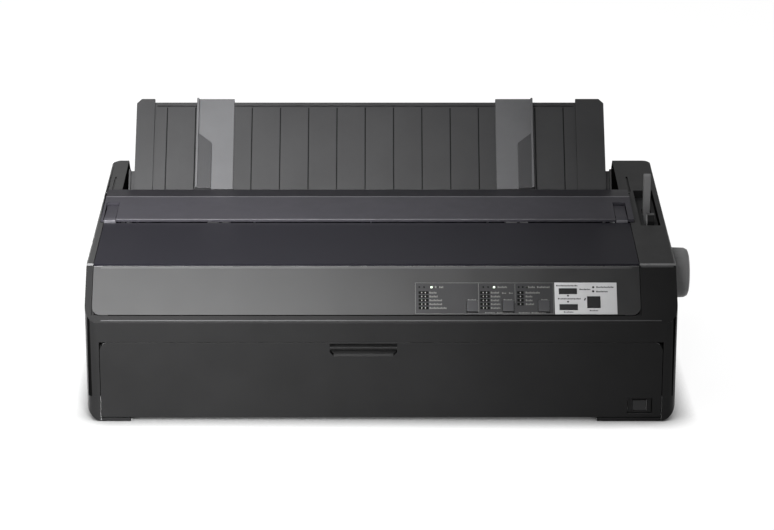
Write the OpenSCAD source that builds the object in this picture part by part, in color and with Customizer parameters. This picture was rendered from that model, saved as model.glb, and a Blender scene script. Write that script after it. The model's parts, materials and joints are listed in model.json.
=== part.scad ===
// Wide-carriage dot matrix printer: smoked top cover, tension unit, front paper door, upright sheet guide,
// platen with its knob and gear train, carriage, ribbon, push tractors, levers and keys.
//
// Every piece is drawn in the case's own frame: x = 0 is the middle of the case, y = 0 its front face,
// y grows towards the back, and z = 0 is the table. stand() then carries it to the part's frame, whose
// origin is the middle of the whole footprint, knob included.

/* [Case] */
// Width of the case, without the knob
case_w = 600; // [592:1:620]
// Depth of the case, front face to back wall
case_d = 402; // [396:1:420]
// Thickness of the case mouldings
wall = 3; // [2.5:0.1:3.4]
// Radius of the case's upright corners
corner_r = 13; // [8:0.5:16]
// Radius of the rounded lower side edges
under_r = 16.4; // [14:0.2:17]
// Height of the case's underside above the table
under_z = 4.9; // [4.4:0.1:6]
// Height of the joint between lower and upper case
seam_z = 26.6; // [26:0.1:30]
// Height of the upright front face, up to the fascia
front_h = 105.8; // [103:0.2:110]
// How far the fascia's slope runs back
fascia_run = 42.6; // [41:0.2:46]
// How far the fascia's slope climbs
fascia_rise = 49.1; // [48:0.1:53]
// Rise of the top deck, in degrees
deck_slope = 5; // [4.8:0.1:5.2]
// Depth of the back slope behind the deck
back_run = 54; // [48:1:56]
// Height of the upright back wall
back_h = 128; // [124:1:134]
// Width of the rim along the fascia's lower edge
rim_w = 8; // [7:0.2:9]
// Gap between covers and the case
gap = 0.6; // [0.4:0.1:0.8]

/* [Top cover] */
// Width of the rim left of the covers
rim_left = 7.5; // [7.5:0.1:8.5]
// Width of the deck right of the covers
deck_right = 37.5; // [37.5:0.1:39]
// Depth of the top cover
cover_d = 113.6; // [112:0.1:114]
// Thickness of the smoked mouldings
smoke_t = 2.4; // [2:0.1:2.8]
// How far the cover reaches behind its hinge line
cover_tail = 5.2; // [4.8:0.1:5.4]
// Depth of the cover's hinge line below the deck
hinge_drop = 4.6; // [4.4:0.1:5]
// Radius of the hinge pins
pin_r = 2.2; // [1.8:0.1:2.3]
// Running clearance round pins and shafts
run = 0.08; // [0.05:0.01:0.1]

/* [Tension unit] */
// How far the tension unit reaches over the left rim
unit_over_l = 3.5; // [3:0.1:3.5]
// How far the tension unit reaches over the right deck
unit_over_r = 4.5; // [4:0.1:5]
// Gap between the top cover and the tension unit
unit_gap = 2.4; // [2.2:0.1:3]
// Height of its front lip
lip_h = 3.2; // [2.6:0.1:3.6]
// Depth of its rising front slope
unit_front_d = 62; // [60:0.5:63]
// Depth of its flat rear band
unit_back_d = 30; // [28:0.5:31]
// Height of its ridge above the deck
ridge_h = 5; // [4:0.1:5.6]
// Width of a lock tab
tab_w = 12.5; // [10:0.5:14]
// Length of a lock tab
tab_d = 45; // [36:1:48]
// Radius of the tension rollers
tension_r = 5; // [4:0.5:6]

/* [Front door] */
// Width of the case on each side of the front paper door
door_side = 15; // [14:0.5:18]
// Height of the case's front above the door
front_band = 21.2; // [20:0.2:24]
// Thickness of the door's plate
door_t = 2.6; // [2.2:0.1:3]
// Radius of the door's upper corners
door_r = 9; // [6:0.5:12]
// Height of the door's hinge line above its bottom edge
door_pin_up = 5.1; // [4.9:0.1:5.4]
// Width of the finger pull
pull_w = 68; // [60:1:76]
// Height of the finger pull
pull_h = 13; // [12:0.5:14]
// Where the finger pull's middle lies
pull_x = -18; // [-24:1:10]

/* [Sheet guide] */
// Distance of the sheet guide from the covers' left edge
guide_in_l = 22.8; // [22.7:0.1:24]
// Distance of the sheet guide from the covers' right edge
guide_in_r = 17.1; // [16.9:0.1:18]
// Length of the guide above its pivot
guide_len = 130; // [124:1:132]
// Lean of the guide above the horizontal, in degrees
guide_lean = 50; // [49:0.5:52]
// Depth of the guide's pivot below the deck
guide_drop = 22.3; // [21.8:0.1:23]
// Thickness of the guide's panel
guide_t = 4; // [3.4:0.1:4.6]
// Width of the guide's left side rail
rail_l = 20; // [16:1:24]
// Width of the guide's right side rail
rail_r = 31; // [26:1:34]
// How far the side rails stand proud of the panel
rail_t = 3; // [2.6:0.1:3.4]
// Number of grooves across the panel
groove_n = 15; // [9:1:15]
// Distance between grooves
groove_pitch = 31.2; // [29:0.2:31.4]
// Width of a groove
groove_w = 1.2; // [0.8:0.1:2]
// Width of an edge guide
edge_w = 41; // [36:1:44]
// Thickness of an edge guide
edge_t = 2; // [1.6:0.1:2.4]
// Distance of the left edge guide from the sheet guide's left edge
edge_in_l = 66.7; // [60:0.1:74]
// Distance of the right edge guide from the sheet guide's right edge
edge_in_r = 78.4; // [72:0.1:86]

/* [Platen and gears] */
// Distance of the platen's axis behind the top cover's hinge line
platen_back = 38; // [37.5:0.5:38.5]
// Height of the platen's axis
platen_z = 100; // [99.5:0.5:100.5]
// Radius of the platen's rubber
platen_r = 17; // [16.5:0.1:17.2]
// Radius of the platen's shaft
shaft_r = 5; // [4:0.5:6]
// Radius of the platen knob
knob_r = 27.4; // [24:0.1:29]
// How far the knob reaches out of the case
knob_out = 29; // [24:0.5:34]
// Gear module: pitch diameter over number of teeth
gear_m = 1.5; // [1.5:0.1:1.5]
// Width of the gears
gear_w = 8; // [6:0.5:9]
// Teeth of the platen gear
platen_teeth = 40; // [40:4:40]
// Teeth of the reduction gear
reduce_teeth = 30; // [28:2:32]
// Teeth of the motor pinion
pinion_teeth = 14; // [12:2:16]
// Teeth of each of the two idlers
idler_teeth = 26; // [26:2:28]
// Teeth of the tractor gear
tractor_teeth = 24; // [24:4:24]

/* [Carriage and ribbon] */
// Radius of the carriage's guide rod
rod_r = 6; // [5:0.5:7]
// Distance of the guide rod in front of the platen's axis
rod_front = 40; // [39:0.5:41]
// Depth of the guide rod below the platen's axis
rod_drop = 16; // [15:0.5:17]
// Width of the carriage
carriage_w = 56; // [50:1:60]
// Distance of the resting carriage's middle from the left side frame
carriage_park = 76; // [73:1:81]
// Height of the ribbon
ribbon_h = 13; // [12:0.5:14]
// Thickness of the ribbon's band
ribbon_t = 0.4; // [0.3:0.1:0.5]
// Depth of the ribbon cartridge
ribbon_d = 60; // [54:1:62]
// Thickness of the ribbon cartridge
ribbon_case_h = 26; // [22:1:28]
// Radius of the ribbon cartridge's knob
ribbon_knob_r = 11; // [9:0.5:13]
// Radius of the carriage belt's pulleys
pulley_r = 9; // [8:0.5:9.5]
// Thickness of the carriage belt
belt_t = 1.2; // [1:0.1:1.4]
// Width of the carriage belt
belt_w = 6; // [5:0.5:7]
// Side of the square motors
motor_s = 42; // [39:1:42]

/* [Tractors and levers] */
// Distance of the tractors' drive shaft behind the platen's axis
drive_back = 122; // [121.5:0.5:122.5]
// Height of the tractors' shafts above the platen's axis
tractor_up = 8; // [7.5:0.5:8.5]
// Distance between the tractors' two shafts
tractor_gap = 27; // [24:0.5:30]
// Side of the square drive shaft
square_s = 8; // [7:0.5:9]
// Radius of the tractors' guide shaft
tractor_rod_r = 5; // [4:0.5:6]
// Width of a tractor
tractor_w = 24; // [20:1:28]
// Distance of the left tractor's middle from the left side frame
tractor_in_l = 101; // [91:1:111]
// Distance of the right tractor's middle from the right side frame
tractor_in_r = 106; // [101:1:116]
// Thickness of a tractor's lid
lid_t = 3; // [2.4:0.1:3.6]
// Distance of the levers' middle from the case's right face
lever_in = 15.2; // [14.5:0.1:16]
// Width of a lever
lever_w = 7.6; // [6:0.1:8]
// Distance of the release lever behind the platen's axis
release_back = 24; // [22:1:28]
// Height of the release lever above the deck
release_up = 33.1; // [26:0.1:36]
// Distance of the gap lever in front of the platen's axis
gap_lever_front = 22; // [20:1:24]
// Radius of the lever studs
stud_r = 3; // [2.5:0.1:3.4]

/* [Controls] */
// Distance of the key plate from the fascia's right edge
panel_in = 23.8; // [18:0.1:28]
// Width of the indicator plate
panel_w = 141; // [136:0.5:141]
// Width of the grey key plate
key_plate_w = 63; // [60:0.5:64]
// Distance of both plates above the fascia's lower corner
panel_s = 9.6; // [9.4:0.1:10.4]
// Height of both plates along the slope
panel_h = 34.8; // [34:0.1:36]
// Thickness of both plates
panel_t = 0.6; // [0.4:0.1:0.8]
// Travel of the keys
key_travel = 0.8; // [0.5:0.1:0.9]
// Clearance round the keys
key_gap = 0.3; // [0.2:0.05:0.4]
// How far the keys stand proud
key_proud = 1; // [0.8:0.1:1.6]
// Radius of an indicator light
light_r = 1.1; // [0.8:0.1:1.3]
// Width of the power switch's rocker
rocker_w = 14; // [12:0.5:14.5]
// Height of the power switch's rocker
rocker_h = 12.4; // [11:0.1:12.6]
// Distance of the power switch's middle from the case's right face
switch_in = 37; // [34:0.5:44]

/* [Hidden] */
$fn = 64;
eps = 0.01;
touch = 0.3;        // seat clearance of pieces that lie in one another
half_w = case_w / 2;
cover_l = -half_w + rim_left;
cover_r = half_w - deck_right;
deck_end = case_d - back_run;
door_w = case_w - 2 * door_side;
door_top = front_h - front_band;
door_foot = under_z;
door_pin_z = door_foot + door_pin_up;
slope_a = atan2(fascia_rise, fascia_run);
slope_len = norm([fascia_run, fascia_rise]);
crease_z = front_h + fascia_rise;
cover_t = smoke_t;
band = 2.6;         // thickness of the fascia's plate
ledge_t = 2;
ledge_w = 2.5;
root = 1;           // how deep ribs and ledges are rooted in the wall that carries them
floor_z = under_z + wall;
door_zone = door_w / 2 + gap;
front_wall_y = 12;
slot_hi = door_top - 5.6;  // the front paper slot's upper and lower edge
slot_lo = slot_hi - 35;
cover_y = fascia_run + gap + 0.4;
hinge_y = cover_y + cover_d - cover_tail;
hinge_z = deck_z(hinge_y) - hinge_drop;
unit_l = cover_l - unit_over_l;
unit_r = cover_r + unit_over_r;
unit_y = cover_y + cover_d + unit_gap;
ridge_y = unit_y + unit_front_d;
unit_end = ridge_y + unit_back_d;
unit_pin_y = unit_end - 6;
unit_pin_z = deck_z(unit_pin_y) - 3.6;
guide_l = cover_l + guide_in_l;
guide_r = cover_r - guide_in_r;
guide_y = unit_end + 0.1;
guide_z = deck_z(guide_y) - guide_drop;
edge_l_x = guide_l + edge_in_l;
edge_r_x = guide_r - edge_in_r - edge_w;
slot_l = guide_l - 2.3;  // the front paper slot's ends
slot_r = guide_r + 2.6;
mouth_l = guide_l - 12;  // the paper opening behind the tension unit
mouth_r = guide_r + 12.9;
mouth_y = unit_end + 1.9;
mouth_z = back_h - 10;
frame_l = -half_w + 19;  // outer face of the left side frame
frame_r = half_w - 44;   // inner face of the right side frame, which leaves a bay for the gears and levers
frame_t = 2;
base_z = floor_z + 4;
base_t = 1.6;
gear_x = frame_r + frame_t + 4;
boss_r = 4.2;
door_pin_y = 5;
swing_r = norm([door_pin_y, door_pin_up]) + 0.4;  // room that the door's foot sweeps through
knob_gap = 0.8;
platen_y = hinge_y + platen_back;
rod_y = platen_y - rod_front;
rod_z = platen_z - rod_drop;
drive_y = platen_y + drive_back;
tractor_z = platen_z + tractor_up;
roller_y = platen_y + 12;
roller_z = platen_z + 34;
stud_z = platen_z + 28;
tab_l_x = cover_l - 0.5;
tab_r_x = cover_r - 2 - tab_w;
notch = 0.4;
tab_travel = 1.5;
tab_floor = 2 + tab_travel + 0.3;  // depth of the pads under the lock tabs
key_plate_r = cover_r - panel_in;
key_plate_l = key_plate_r - key_plate_w;
panel_l = key_plate_l - 0.7 - panel_w;
light_s = panel_s + 29.7;
light_spots = [
  for (x = [17, 23.5, 80.5, 114]) [panel_l + x, light_s],
  [key_plate_l + 39.3, light_s]
];
key_s = panel_s + 2.8;
key_w = 11.6;
key_h = 12.4;
bar_w = 18;
bar_h = 6;
keys = [            // each key's middle, its first row along the slope, its width and its height
  for (x = [58.2, 94.6, 130.7]) [panel_l + x, key_s, key_w, key_h],
  [key_plate_l + 13.5, panel_s + 22.3, bar_w, bar_h],
  [key_plate_l + 13.9, panel_s + 4.8, bar_w, bar_h],
  [key_plate_l + 39.5, panel_s + 7.1, 13, key_h]
];

case_grey = "#2b2b2d";
inner_grey = "#37373a";
smoke = "#24232a";
steel = "#9a9ca0";
pale = "#d8d6cf";

// ---- shared shapes ----

function deck_z(y) = crease_z + (y - fascia_run) * tan(deck_slope);

function unit(v) = v / norm(v);

// A polygon moved inwards by t on every side; its points run counter-clockwise.
function inset(p, t) = [
  for (i = [0 : len(p) - 1])
    let (
      before = p[(i + len(p) - 1) % len(p)],
      after = p[(i + 1) % len(p)],
      u = unit(p[i] - before),
      v = unit(after - p[i]),
      m = [-u[1], u[0]],
      n = [-v[1], v[0]]
    )
    p[i] + (m + n) * t / (1 + m * n)
];

// The case seen from its side, as (y, z), down to the given height.
function case_side(bottom) = [
  [0, bottom], [case_d, bottom], [case_d, back_h], [deck_end, deck_z(deck_end)],
  [fascia_run, crease_z], [0, front_h]
];

module stand() translate([-knob_out / 2, -case_d / 2, 0]) children();

// A polygon of (y, z) points, stretched from x0 to x1.
module side_slab(points, x0, x1)
  translate([x0, 0, 0]) rotate([90, 0, 90]) linear_extrude(x1 - x0) polygon(points);

module block(x0, x1, y0, y1, z0, z1)
  translate([x0, y0, z0]) cube([x1 - x0, y1 - y0, z1 - z0]);

module x_rod(r, x0, x1, y, z) translate([x0, y, z]) rotate([0, 90, 0]) cylinder(r = r, h = x1 - x0);

module y_rod(r, x, y0, y1, z) translate([x, y0, z]) rotate([-90, 0, 0]) cylinder(r = r, h = y1 - y0);

module z_rod(r, x, y, z0, z1) translate([x, y, z0]) cylinder(r = r, h = z1 - z0);

module round_rect(w, d, r) {
  square([w - 2 * r, d], center = true);
  square([w, d - 2 * r], center = true);
  for (x = [-1, 1], y = [-1, 1]) translate([x * (w / 2 - r), y * (d / 2 - r)]) circle(r);
}

// The case's footprint, inset by t, from z0 to z1.
module plan_slab(t, z0, z1)
  translate([0, case_d / 2, z0]) linear_extrude(z1 - z0)
    round_rect(case_w - 2 * t, case_d - 2 * t, corner_r - t);

// Local frames: y runs up the slope and z is its outward normal.
module on_slope() translate([0, 0, front_h]) rotate([slope_a, 0, 0]) children();
module on_deck() translate([0, fascia_run, crease_z]) rotate([deck_slope, 0, 0]) children();

// Distance along the deck's slope of a point that lies y behind the front face.
function deck_run(y) = (y - fascia_run) / cos(deck_slope);

// ---- case ----

module upper_form(t, bottom) intersection() {
  plan_slab(t, bottom, deck_z(deck_end) + wall);
  side_slab(inset(case_side(bottom - t), t), -half_w, half_w);
}

post_top = front_h - 13.8;

function posts() = [
  for (x = [-1, 1], y = [30, case_d - 22]) [x * (half_w - wall - 5.5), y]
];

module rails_under_cover(y0, y1)
  for (x = [cover_l - gap - root, cover_r + gap - ledge_w])
    on_deck() translate([x, deck_run(y0), -cover_t - touch - ledge_t])
      cube([ledge_w + root, y1 - y0, ledge_t]);

module ledge_under_fascia() on_slope() {
  for (x = [cover_l - gap - root, cover_r + gap - ledge_w])
    translate([x, rim_w - 2, -band - ledge_t]) cube([ledge_w + root, slope_len - rim_w, ledge_t]);
  translate([cover_l - gap - root, rim_w - 4, -band - ledge_t])
    cube([cover_r - cover_l + 2 * (gap + root), 6, ledge_t]);
}

lever_x = half_w - lever_in;
release_y = platen_y + release_back;
release_top = deck_z(release_y) + release_up;
gap_lever_y = platen_y - gap_lever_front;
tub_l = lever_x - 11;
tub_r = lever_x + 9.4;
tub_y0 = gap_lever_y - 18;
tub_y1 = release_y + 40;
tub_deep = 9;

module lever_tub(t) on_deck()
  translate([tub_l - t, deck_run(tub_y0) - t, -tub_deep - t])
    cube([tub_r - tub_l + 2 * t, tub_y1 - tub_y0 + 2 * t, tub_deep + t + (t > 0 ? -root : wall)]);

function unit_pin_l() = unit_l + 4.6;
function unit_pin_r() = unit_r - 4.6;

module pivot_boss(x0, x1, y, z, foot) {
  x_rod(boss_r, x0, x1, y, z);
  block(x0, x1, y - boss_r, y, foot, z);
}

module vents(x0, n, z0, z1, y0, y1)
  for (i = [0 : n - 1]) block(x0 + 9 * i, x0 + 9 * i + 4, y0, y1, z0, z1);

module socket_holes(t) {
  block(inlet_x - inlet_w / 2 - t, inlet_x + inlet_w / 2 + t, case_d - wall - 1, case_d + 1,
    inlet_z - inlet_h / 2 - t, inlet_z + inlet_h / 2 + t);
  for (p = ports) block(p[0] - p[1] / 2 - t, p[0] + p[1] / 2 + t, case_d - wall - 1, case_d + 1,
    port_z - t, port_z + p[2] + t);
}

module upper_case() color(case_grey) stand() difference() {
  union() {
    difference() {
      upper_form(0, seam_z);
      upper_form(wall, seam_z - eps);
      // the whole top, between the rims
      side_slab([
        slope_at(rim_w, -9), slope_at(rim_w, 9), slope_at(slope_len, 12), deck_at(unit_y, 9),
        deck_at(unit_y, -9), slope_at(slope_len, -12)
      ], cover_l - gap, cover_r + gap);
      side_slab([
        deck_at(unit_y - gap, -9), deck_at(mouth_y, -9), deck_at(mouth_y, 9), deck_at(unit_y - gap, 9)
      ], unit_l - gap, unit_r + gap);
      block(mouth_l, mouth_r, mouth_y - 1, case_d + 1, mouth_z, case_d);
      // the front door's place
      block(-door_zone, door_zone, -1, front_wall_y + wall, seam_z - 1, door_top + gap);
      lever_tub(0);
    }
    ledge_under_fascia();
    rails_under_cover(fascia_run + 4, hinge_y - 14);
    // cheeks beside the door, the beam above it and the wall behind it
    for (x = [-door_zone - wall, door_zone])
      block(x, x + wall, 1, front_wall_y + wall, seam_z, door_top + gap + 2);
    block(-door_zone - 1, door_zone + 1, 1, front_wall_y + wall, door_top + gap, door_top + gap + wall);
    difference() {
      block(-door_zone - 1, door_zone + 1, front_wall_y, front_wall_y + wall, seam_z,
        door_top + gap + wall);
      block(slot_l, slot_r, front_wall_y - 1, front_wall_y + wall + 1, slot_lo, slot_hi);
    }
    // walls on both sides of the paper opening
    skin = inset(case_side(seam_z), root);
    for (x = [mouth_l - wall, mouth_r])
      side_slab([
        [mouth_y - 14, mouth_z - 2], [case_d - root, mouth_z - 2], skin[2], skin[3],
        [mouth_y, deck_z(mouth_y) - root], [mouth_y, 160], [mouth_y - 14, 160]
      ], x, x + wall);
    // hinge bosses of the top cover
    block(-half_w + 1, cover_l - gap, hinge_y - 6, hinge_y + 6, hinge_z - 6, deck_z(hinge_y) - 2);
    block(cover_r + gap, cover_r + gap + 4, hinge_y - 6, hinge_y + 6, hinge_z - 6,
      deck_z(hinge_y) - 2);
    // hinge bosses of the tension unit
    pivot_boss(-half_w + 1, unit_pin_l() - gap, unit_pin_y, unit_pin_z, unit_pin_z - 12);
    pivot_boss(unit_pin_r() + gap, unit_r + gap + 2, unit_pin_y, unit_pin_z, unit_pin_z - 12);
    side_slab([
      [unit_pin_y - 12, unit_pin_z - 12], [mouth_y + 4, unit_pin_z - 12],
      [mouth_y + 4, deck_z(mouth_y + 4) - 2], [unit_pin_y - 12, deck_z(unit_pin_y - 12) - 2]
    ], unit_r + gap, unit_r + gap + wall);
    difference() {
      lever_tub(1.6);
      lever_tub(0);
    }
    // screw posts
    for (p = posts()) {
      z_rod(4.5, p[0], p[1], floor_z, post_top);
      block(min(p[0], sign(p[0]) * (half_w - 1)), max(p[0], sign(p[0]) * (half_w - 1)),
        p[1] - 1.2, p[1] + 1.2, seam_z, post_top);
    }
  }
  for (x = [[cover_l - gap - 3.6, cover_l], [cover_r, cover_r + gap + 3.6]])
    x_rod(pin_r + run, x[0], x[1], hinge_y, hinge_z);
  for (x = [[unit_l - 0.6, unit_pin_l()], [unit_pin_r(), unit_r + 0.6]])
    x_rod(pin_r + run, x[0], x[1], unit_pin_y, unit_pin_z);
  for (x = [mouth_l - wall - 1, mouth_r - 1])
    x_rod(pin_r + run, x, x + wall + 2, guide_y, guide_z);
  // slots in the deck that carry on the unit's side gaps
  for (x = [mouth_l - wall - 8.2, mouth_r + wall + 7.6])
    on_deck() translate([x, deck_run(mouth_y - 3), -1.8]) cube([2, 46, 3]);
  for (p = posts()) z_rod(1.5 + run, p[0], p[1], floor_z - 1, floor_z + 14);
  x_rod(shaft_r + 4, half_w - wall - 1, half_w + 1, platen_y, platen_z);
  // slots for the two levers in the tub's floor
  on_deck() translate([lever_x - lever_w / 2 - 1, deck_run(release_y - 38), -tub_deep - 3])
    cube([lever_w + 2, 44, 6]);
  on_deck() translate([lever_x - lever_w / 2 - 1, deck_run(gap_lever_y - 13), -tub_deep - 3])
    cube([lever_w + 2, 18, 6]);
  socket_holes(0.4);
  vents(-half_w / 2, 14, 46, 74, case_d - wall - 1, case_d + 1);
  for (side = [-1, 1], i = [0 : 11])
    block(side * half_w - wall - 1, side * half_w + wall + 1, case_d - 166 + 9 * i, case_d - 162 + 9 * i,
      44, 62);
}

function slope_at(s, off) = [
  s * cos(slope_a) - off * sin(slope_a), front_h + s * sin(slope_a) + off * cos(slope_a)
];
function deck_at(y, off) = [y - off * sin(deck_slope), deck_z(y) + off * cos(deck_slope)];

module lower_form(t, top) intersection() {
  plan_slab(t, pad_h + t, top);
  translate([0, case_d, 0]) rotate([90, 0, 0]) linear_extrude(case_d)
    difference() {
      translate([-half_w + t, pad_h + t]) square([case_w - 2 * t, top]);
      for (side = [-1, 1]) translate([side * (half_w - under_r), pad_h + under_r])
        difference() {
          translate([side > 0 ? 0 : -under_r, -under_r]) square(under_r);
          circle(under_r - t);
        }
    }
}

pad_h = 0.8;        // thickness of the rubber pads under the case's feet
foot_blocks = [[-half_w, -half_w + 45], [half_w - 80, half_w]];
foot_rows = [[0, 62], [case_d - 62, case_d]];
switch_x = half_w - switch_in;
switch_z = under_z + 11.9;
switch_edge = 5;
switch_y = 6.2;
switch_pin_r = 1.2;

base_y0 = rod_y - 88;  // the base plate and the side frames reach from here
base_y1 = drive_y + 20;

function base_studs() = [
  for (x = [frame_l + 19, -90, 90, frame_r - 16], y = [base_y0 + 16, base_y1 - 16]) [x, y]
];

module lower_case() color(case_grey) stand() difference() {
  union() {
    difference() {
      lower_form(0, seam_z);
      intersection() {
        lower_form(wall, seam_z + 1);
        block(-half_w, half_w, 0, case_d, floor_z, seam_z + 1);
      }
      // the case stands on four feet at its corners
      block(foot_blocks[0][1], foot_blocks[1][0], -1, case_d + 1, -1, under_z);
      block(-half_w - 1, half_w + 1, foot_rows[0][1], foot_rows[1][0], -1, under_z);
      block(-door_zone, door_zone, -1, front_wall_y + eps, -1, seam_z + 1);
    }
    // the front feet reach forwards under the door, which swings through a hollow in them
    difference() {
      for (f = [[-door_w / 2, foot_blocks[0][1]], [foot_blocks[1][0], door_w / 2]])
        block(f[0], f[1], 0.4, front_wall_y + wall, pad_h, under_z + 1);
      x_rod(swing_r, -door_zone, door_zone, door_pin_y, door_pin_z);
      block(-door_zone, door_zone, -1, door_pin_y, door_pin_z - swing_r + 1.6, under_z + 2);
    }
    for (x = [-door_zone - wall, door_zone])
      block(x, x + wall, 1, front_wall_y + wall, door_foot + 1.4, seam_z);
    block(-door_zone - 1, door_zone + 1, front_wall_y, front_wall_y + wall, under_z, seam_z);
    for (p = base_studs()) z_rod(4, p[0], p[1], floor_z - 1, base_z);
    block(switch_x - rocker_w / 2 - switch_edge, switch_x + rocker_w / 2 + switch_edge, 2.4,
      front_wall_y + 1, switch_z - rocker_h / 2 - 1.4, switch_z + rocker_h / 2 + 1.4);
  }
  for (x = [-door_zone - wall - 1, door_zone - 1])
    x_rod(pin_r + run, x, x + wall + 2, door_pin_y, door_pin_z);
  block(switch_x - rocker_w / 2 - touch, switch_x + rocker_w / 2 + touch, 0,
    front_wall_y + wall + 1, switch_z - rocker_h / 2 - touch, switch_z + rocker_h / 2 + touch);
  x_rod(switch_pin_r + run, switch_x - rocker_w / 2 - 3, switch_x + rocker_w / 2 + 3, switch_y, switch_z);
  for (p = posts()) {
    z_rod(1.8, p[0], p[1], 0, floor_z + 1);
    z_rod(4, p[0], p[1], 0, under_z + 1.4);
  }
  for (p = posts()) z_rod(4.8, p[0], p[1], floor_z, seam_z + 1);
  vents(-60, 14, under_z - 1, floor_z + 1, case_d / 2 - 21, case_d / 2 + 59);
}

module rounded_low(x0, x1, y0, y1, r) difference() {
  translate([x0, y0]) square([x1 - x0, y1 - y0]);
  for (x = [x0, x1 - r]) translate([x, y0]) difference() {
    square(r);
    translate([x == x0 ? r : 0, r]) circle(r);
  }
}

module key_windows(t) for (k = keys)
  translate([k[0] - k[2] / 2 - t, k[1] - t]) square([k[2] + 2 * t, k[3] + 2 * t]);

module fascia() color(case_grey) stand() {
  on_slope() difference() {
    translate([0, 0, -band]) linear_extrude(band)
      rounded_low(cover_l, cover_r, rim_w + gap, fascia_end, 9);
    translate([panel_l - 0.2, panel_s - 0.2, -panel_t + 0.1])
      cube([key_plate_r - panel_l + 0.4, panel_h + 0.4, 2]);
    translate([0, 0, -band - 1]) linear_extrude(band + 2) {
      key_windows(key_gap);
      for (p = light_spots) translate(p) circle(light_r + 0.1);
    }
  }
  // a rib along the upper edge, and posts that carry the key board
  on_slope() translate([cover_l + 6, fascia_end - 3, -7]) cube([cover_r - cover_l - 12, 2, 5]);
  on_slope() for (x = board_studs, s = [panel_s + 3.4, panel_s + 37.4])
    translate([x, s, -board_drop]) cylinder(r = 2.5, h = board_drop - band + 0.5);
}

board_drop = 8;
// the fascia stops short of the crease, so that its mitred end clears the top cover
fascia_end = slope_len - gap - band * tan((slope_a - deck_slope) / 2);
board_studs = [panel_l + 8, key_plate_r + 1.3];

module indicator_plate() color("#1c1c1e") stand() on_slope() difference() {
  translate([panel_l, panel_s, -panel_t + 0.1]) cube([panel_w, panel_h, panel_t]);
  translate([0, 0, -1]) linear_extrude(3) {
    key_windows(key_gap);
    for (p = light_spots) translate(p) circle(light_r + 0.1);
  }
}

module key_plate() color("#9b9b9d") stand() on_slope() difference() {
  translate([key_plate_l, panel_s, -panel_t + 0.1]) cube([key_plate_w, panel_h, panel_t]);
  translate([0, 0, -1]) linear_extrude(3) {
    key_windows(key_gap);
    for (p = light_spots) translate(p) circle(light_r + 0.1);
  }
}

module panel_key(i) color("#232325") stand() on_slope() {
  k = keys[i];
  translate([k[0] - k[2] / 2, k[1], -4]) cube([k[2], k[3], 4 + key_proud]);
  translate([k[0] - k[2] / 2 - 1.2, k[1] - 1.2, -band - key_proud - 1])
    cube([k[2] + 2.4, k[3] + 2.4, 0.9]);
}

module indicator_lights() color("#f2fff4") stand() on_slope()
  for (p = light_spots) translate([p[0], p[1], -board_drop]) cylinder(r = light_r, h = board_drop + 0.2);

module key_board() color("#1f6b3a") stand() on_slope() {
  translate([panel_l, panel_s - 0.6, -board_drop - 1.6])
    cube([key_plate_r - panel_l + 6, 44, 1.6]);
  for (k = keys) translate([k[0] - 3, k[1] + k[3] / 2 - 2.5, -board_drop - eps])
    cube([6, 5, board_drop - band - key_proud - 1 - key_travel - 0.15]);
}

// ---- covers ----

module top_cover() color(smoke) stand() {
  side_slab([
    deck_at(cover_y, 0), deck_at(cover_y, -cover_t),
    deck_at(hinge_y + cover_tail, -cover_t), deck_at(hinge_y + cover_tail, 0)
  ], cover_l, cover_r);
  // stiffening ribs, with the hinge arms at their ends
  for (x = [cover_l + ledge_w + 1, cover_r - ledge_w - 1 - smoke_t])
    side_slab([
      deck_at(fascia_run + 6, -cover_t + eps), deck_at(fascia_run + 8, -6),
      deck_at(hinge_y, -8), deck_at(hinge_y + 5, -cover_t + eps)
    ], x, x + smoke_t);
  for (x = [[cover_l, cover_l + ledge_w + 2], [cover_r - ledge_w - 2, cover_r]])
    side_slab([
      deck_at(hinge_y - 5, -cover_t + eps), deck_at(hinge_y - 4, -7.4),
      deck_at(hinge_y + 4, -7.4), deck_at(hinge_y + 5, -cover_t + eps)
    ], x[0], x[1]);
  x_rod(pin_r, cover_l - 3.4, cover_l + 1, hinge_y, hinge_z);
  x_rod(pin_r, cover_r - 1, cover_r + 3.4, hinge_y, hinge_z);
  side_slab([
    deck_at(fascia_run + 3, -cover_t + eps), deck_at(fascia_run + 3, -6),
    deck_at(fascia_run + 5, -6), deck_at(fascia_run + 5, -cover_t + eps)
  ], cover_l + ledge_w + 1, cover_r - ledge_w - 1);
}

pull_deep = front_wall_y - 3;
pull_z = door_top - 1.2 - pull_h;

module pull_outline(t) polygon([
  [pull_x - pull_w / 2 - t, pull_z + pull_h + t], [pull_x - pull_w / 2 - t, pull_z + 4],
  [pull_x - pull_w / 2 + 4, pull_z - t], [pull_x + pull_w / 2 - 4, pull_z - t],
  [pull_x + pull_w / 2 + t, pull_z + 4], [pull_x + pull_w / 2 + t, pull_z + pull_h + t]
]);

module front_slab(y0, y1) translate([0, y1, 0]) rotate([90, 0, 0]) linear_extrude(y1 - y0) children();

module door_outline() difference() {
  translate([-door_w / 2, door_foot]) square([door_w, door_top - door_foot]);
  for (side = [-1, 1]) translate([side * (door_w / 2 - door_r), door_top - door_r]) difference() {
    translate([side > 0 ? 0 : -door_r, 0]) square(door_r);
    circle(door_r);
  }
}

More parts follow.
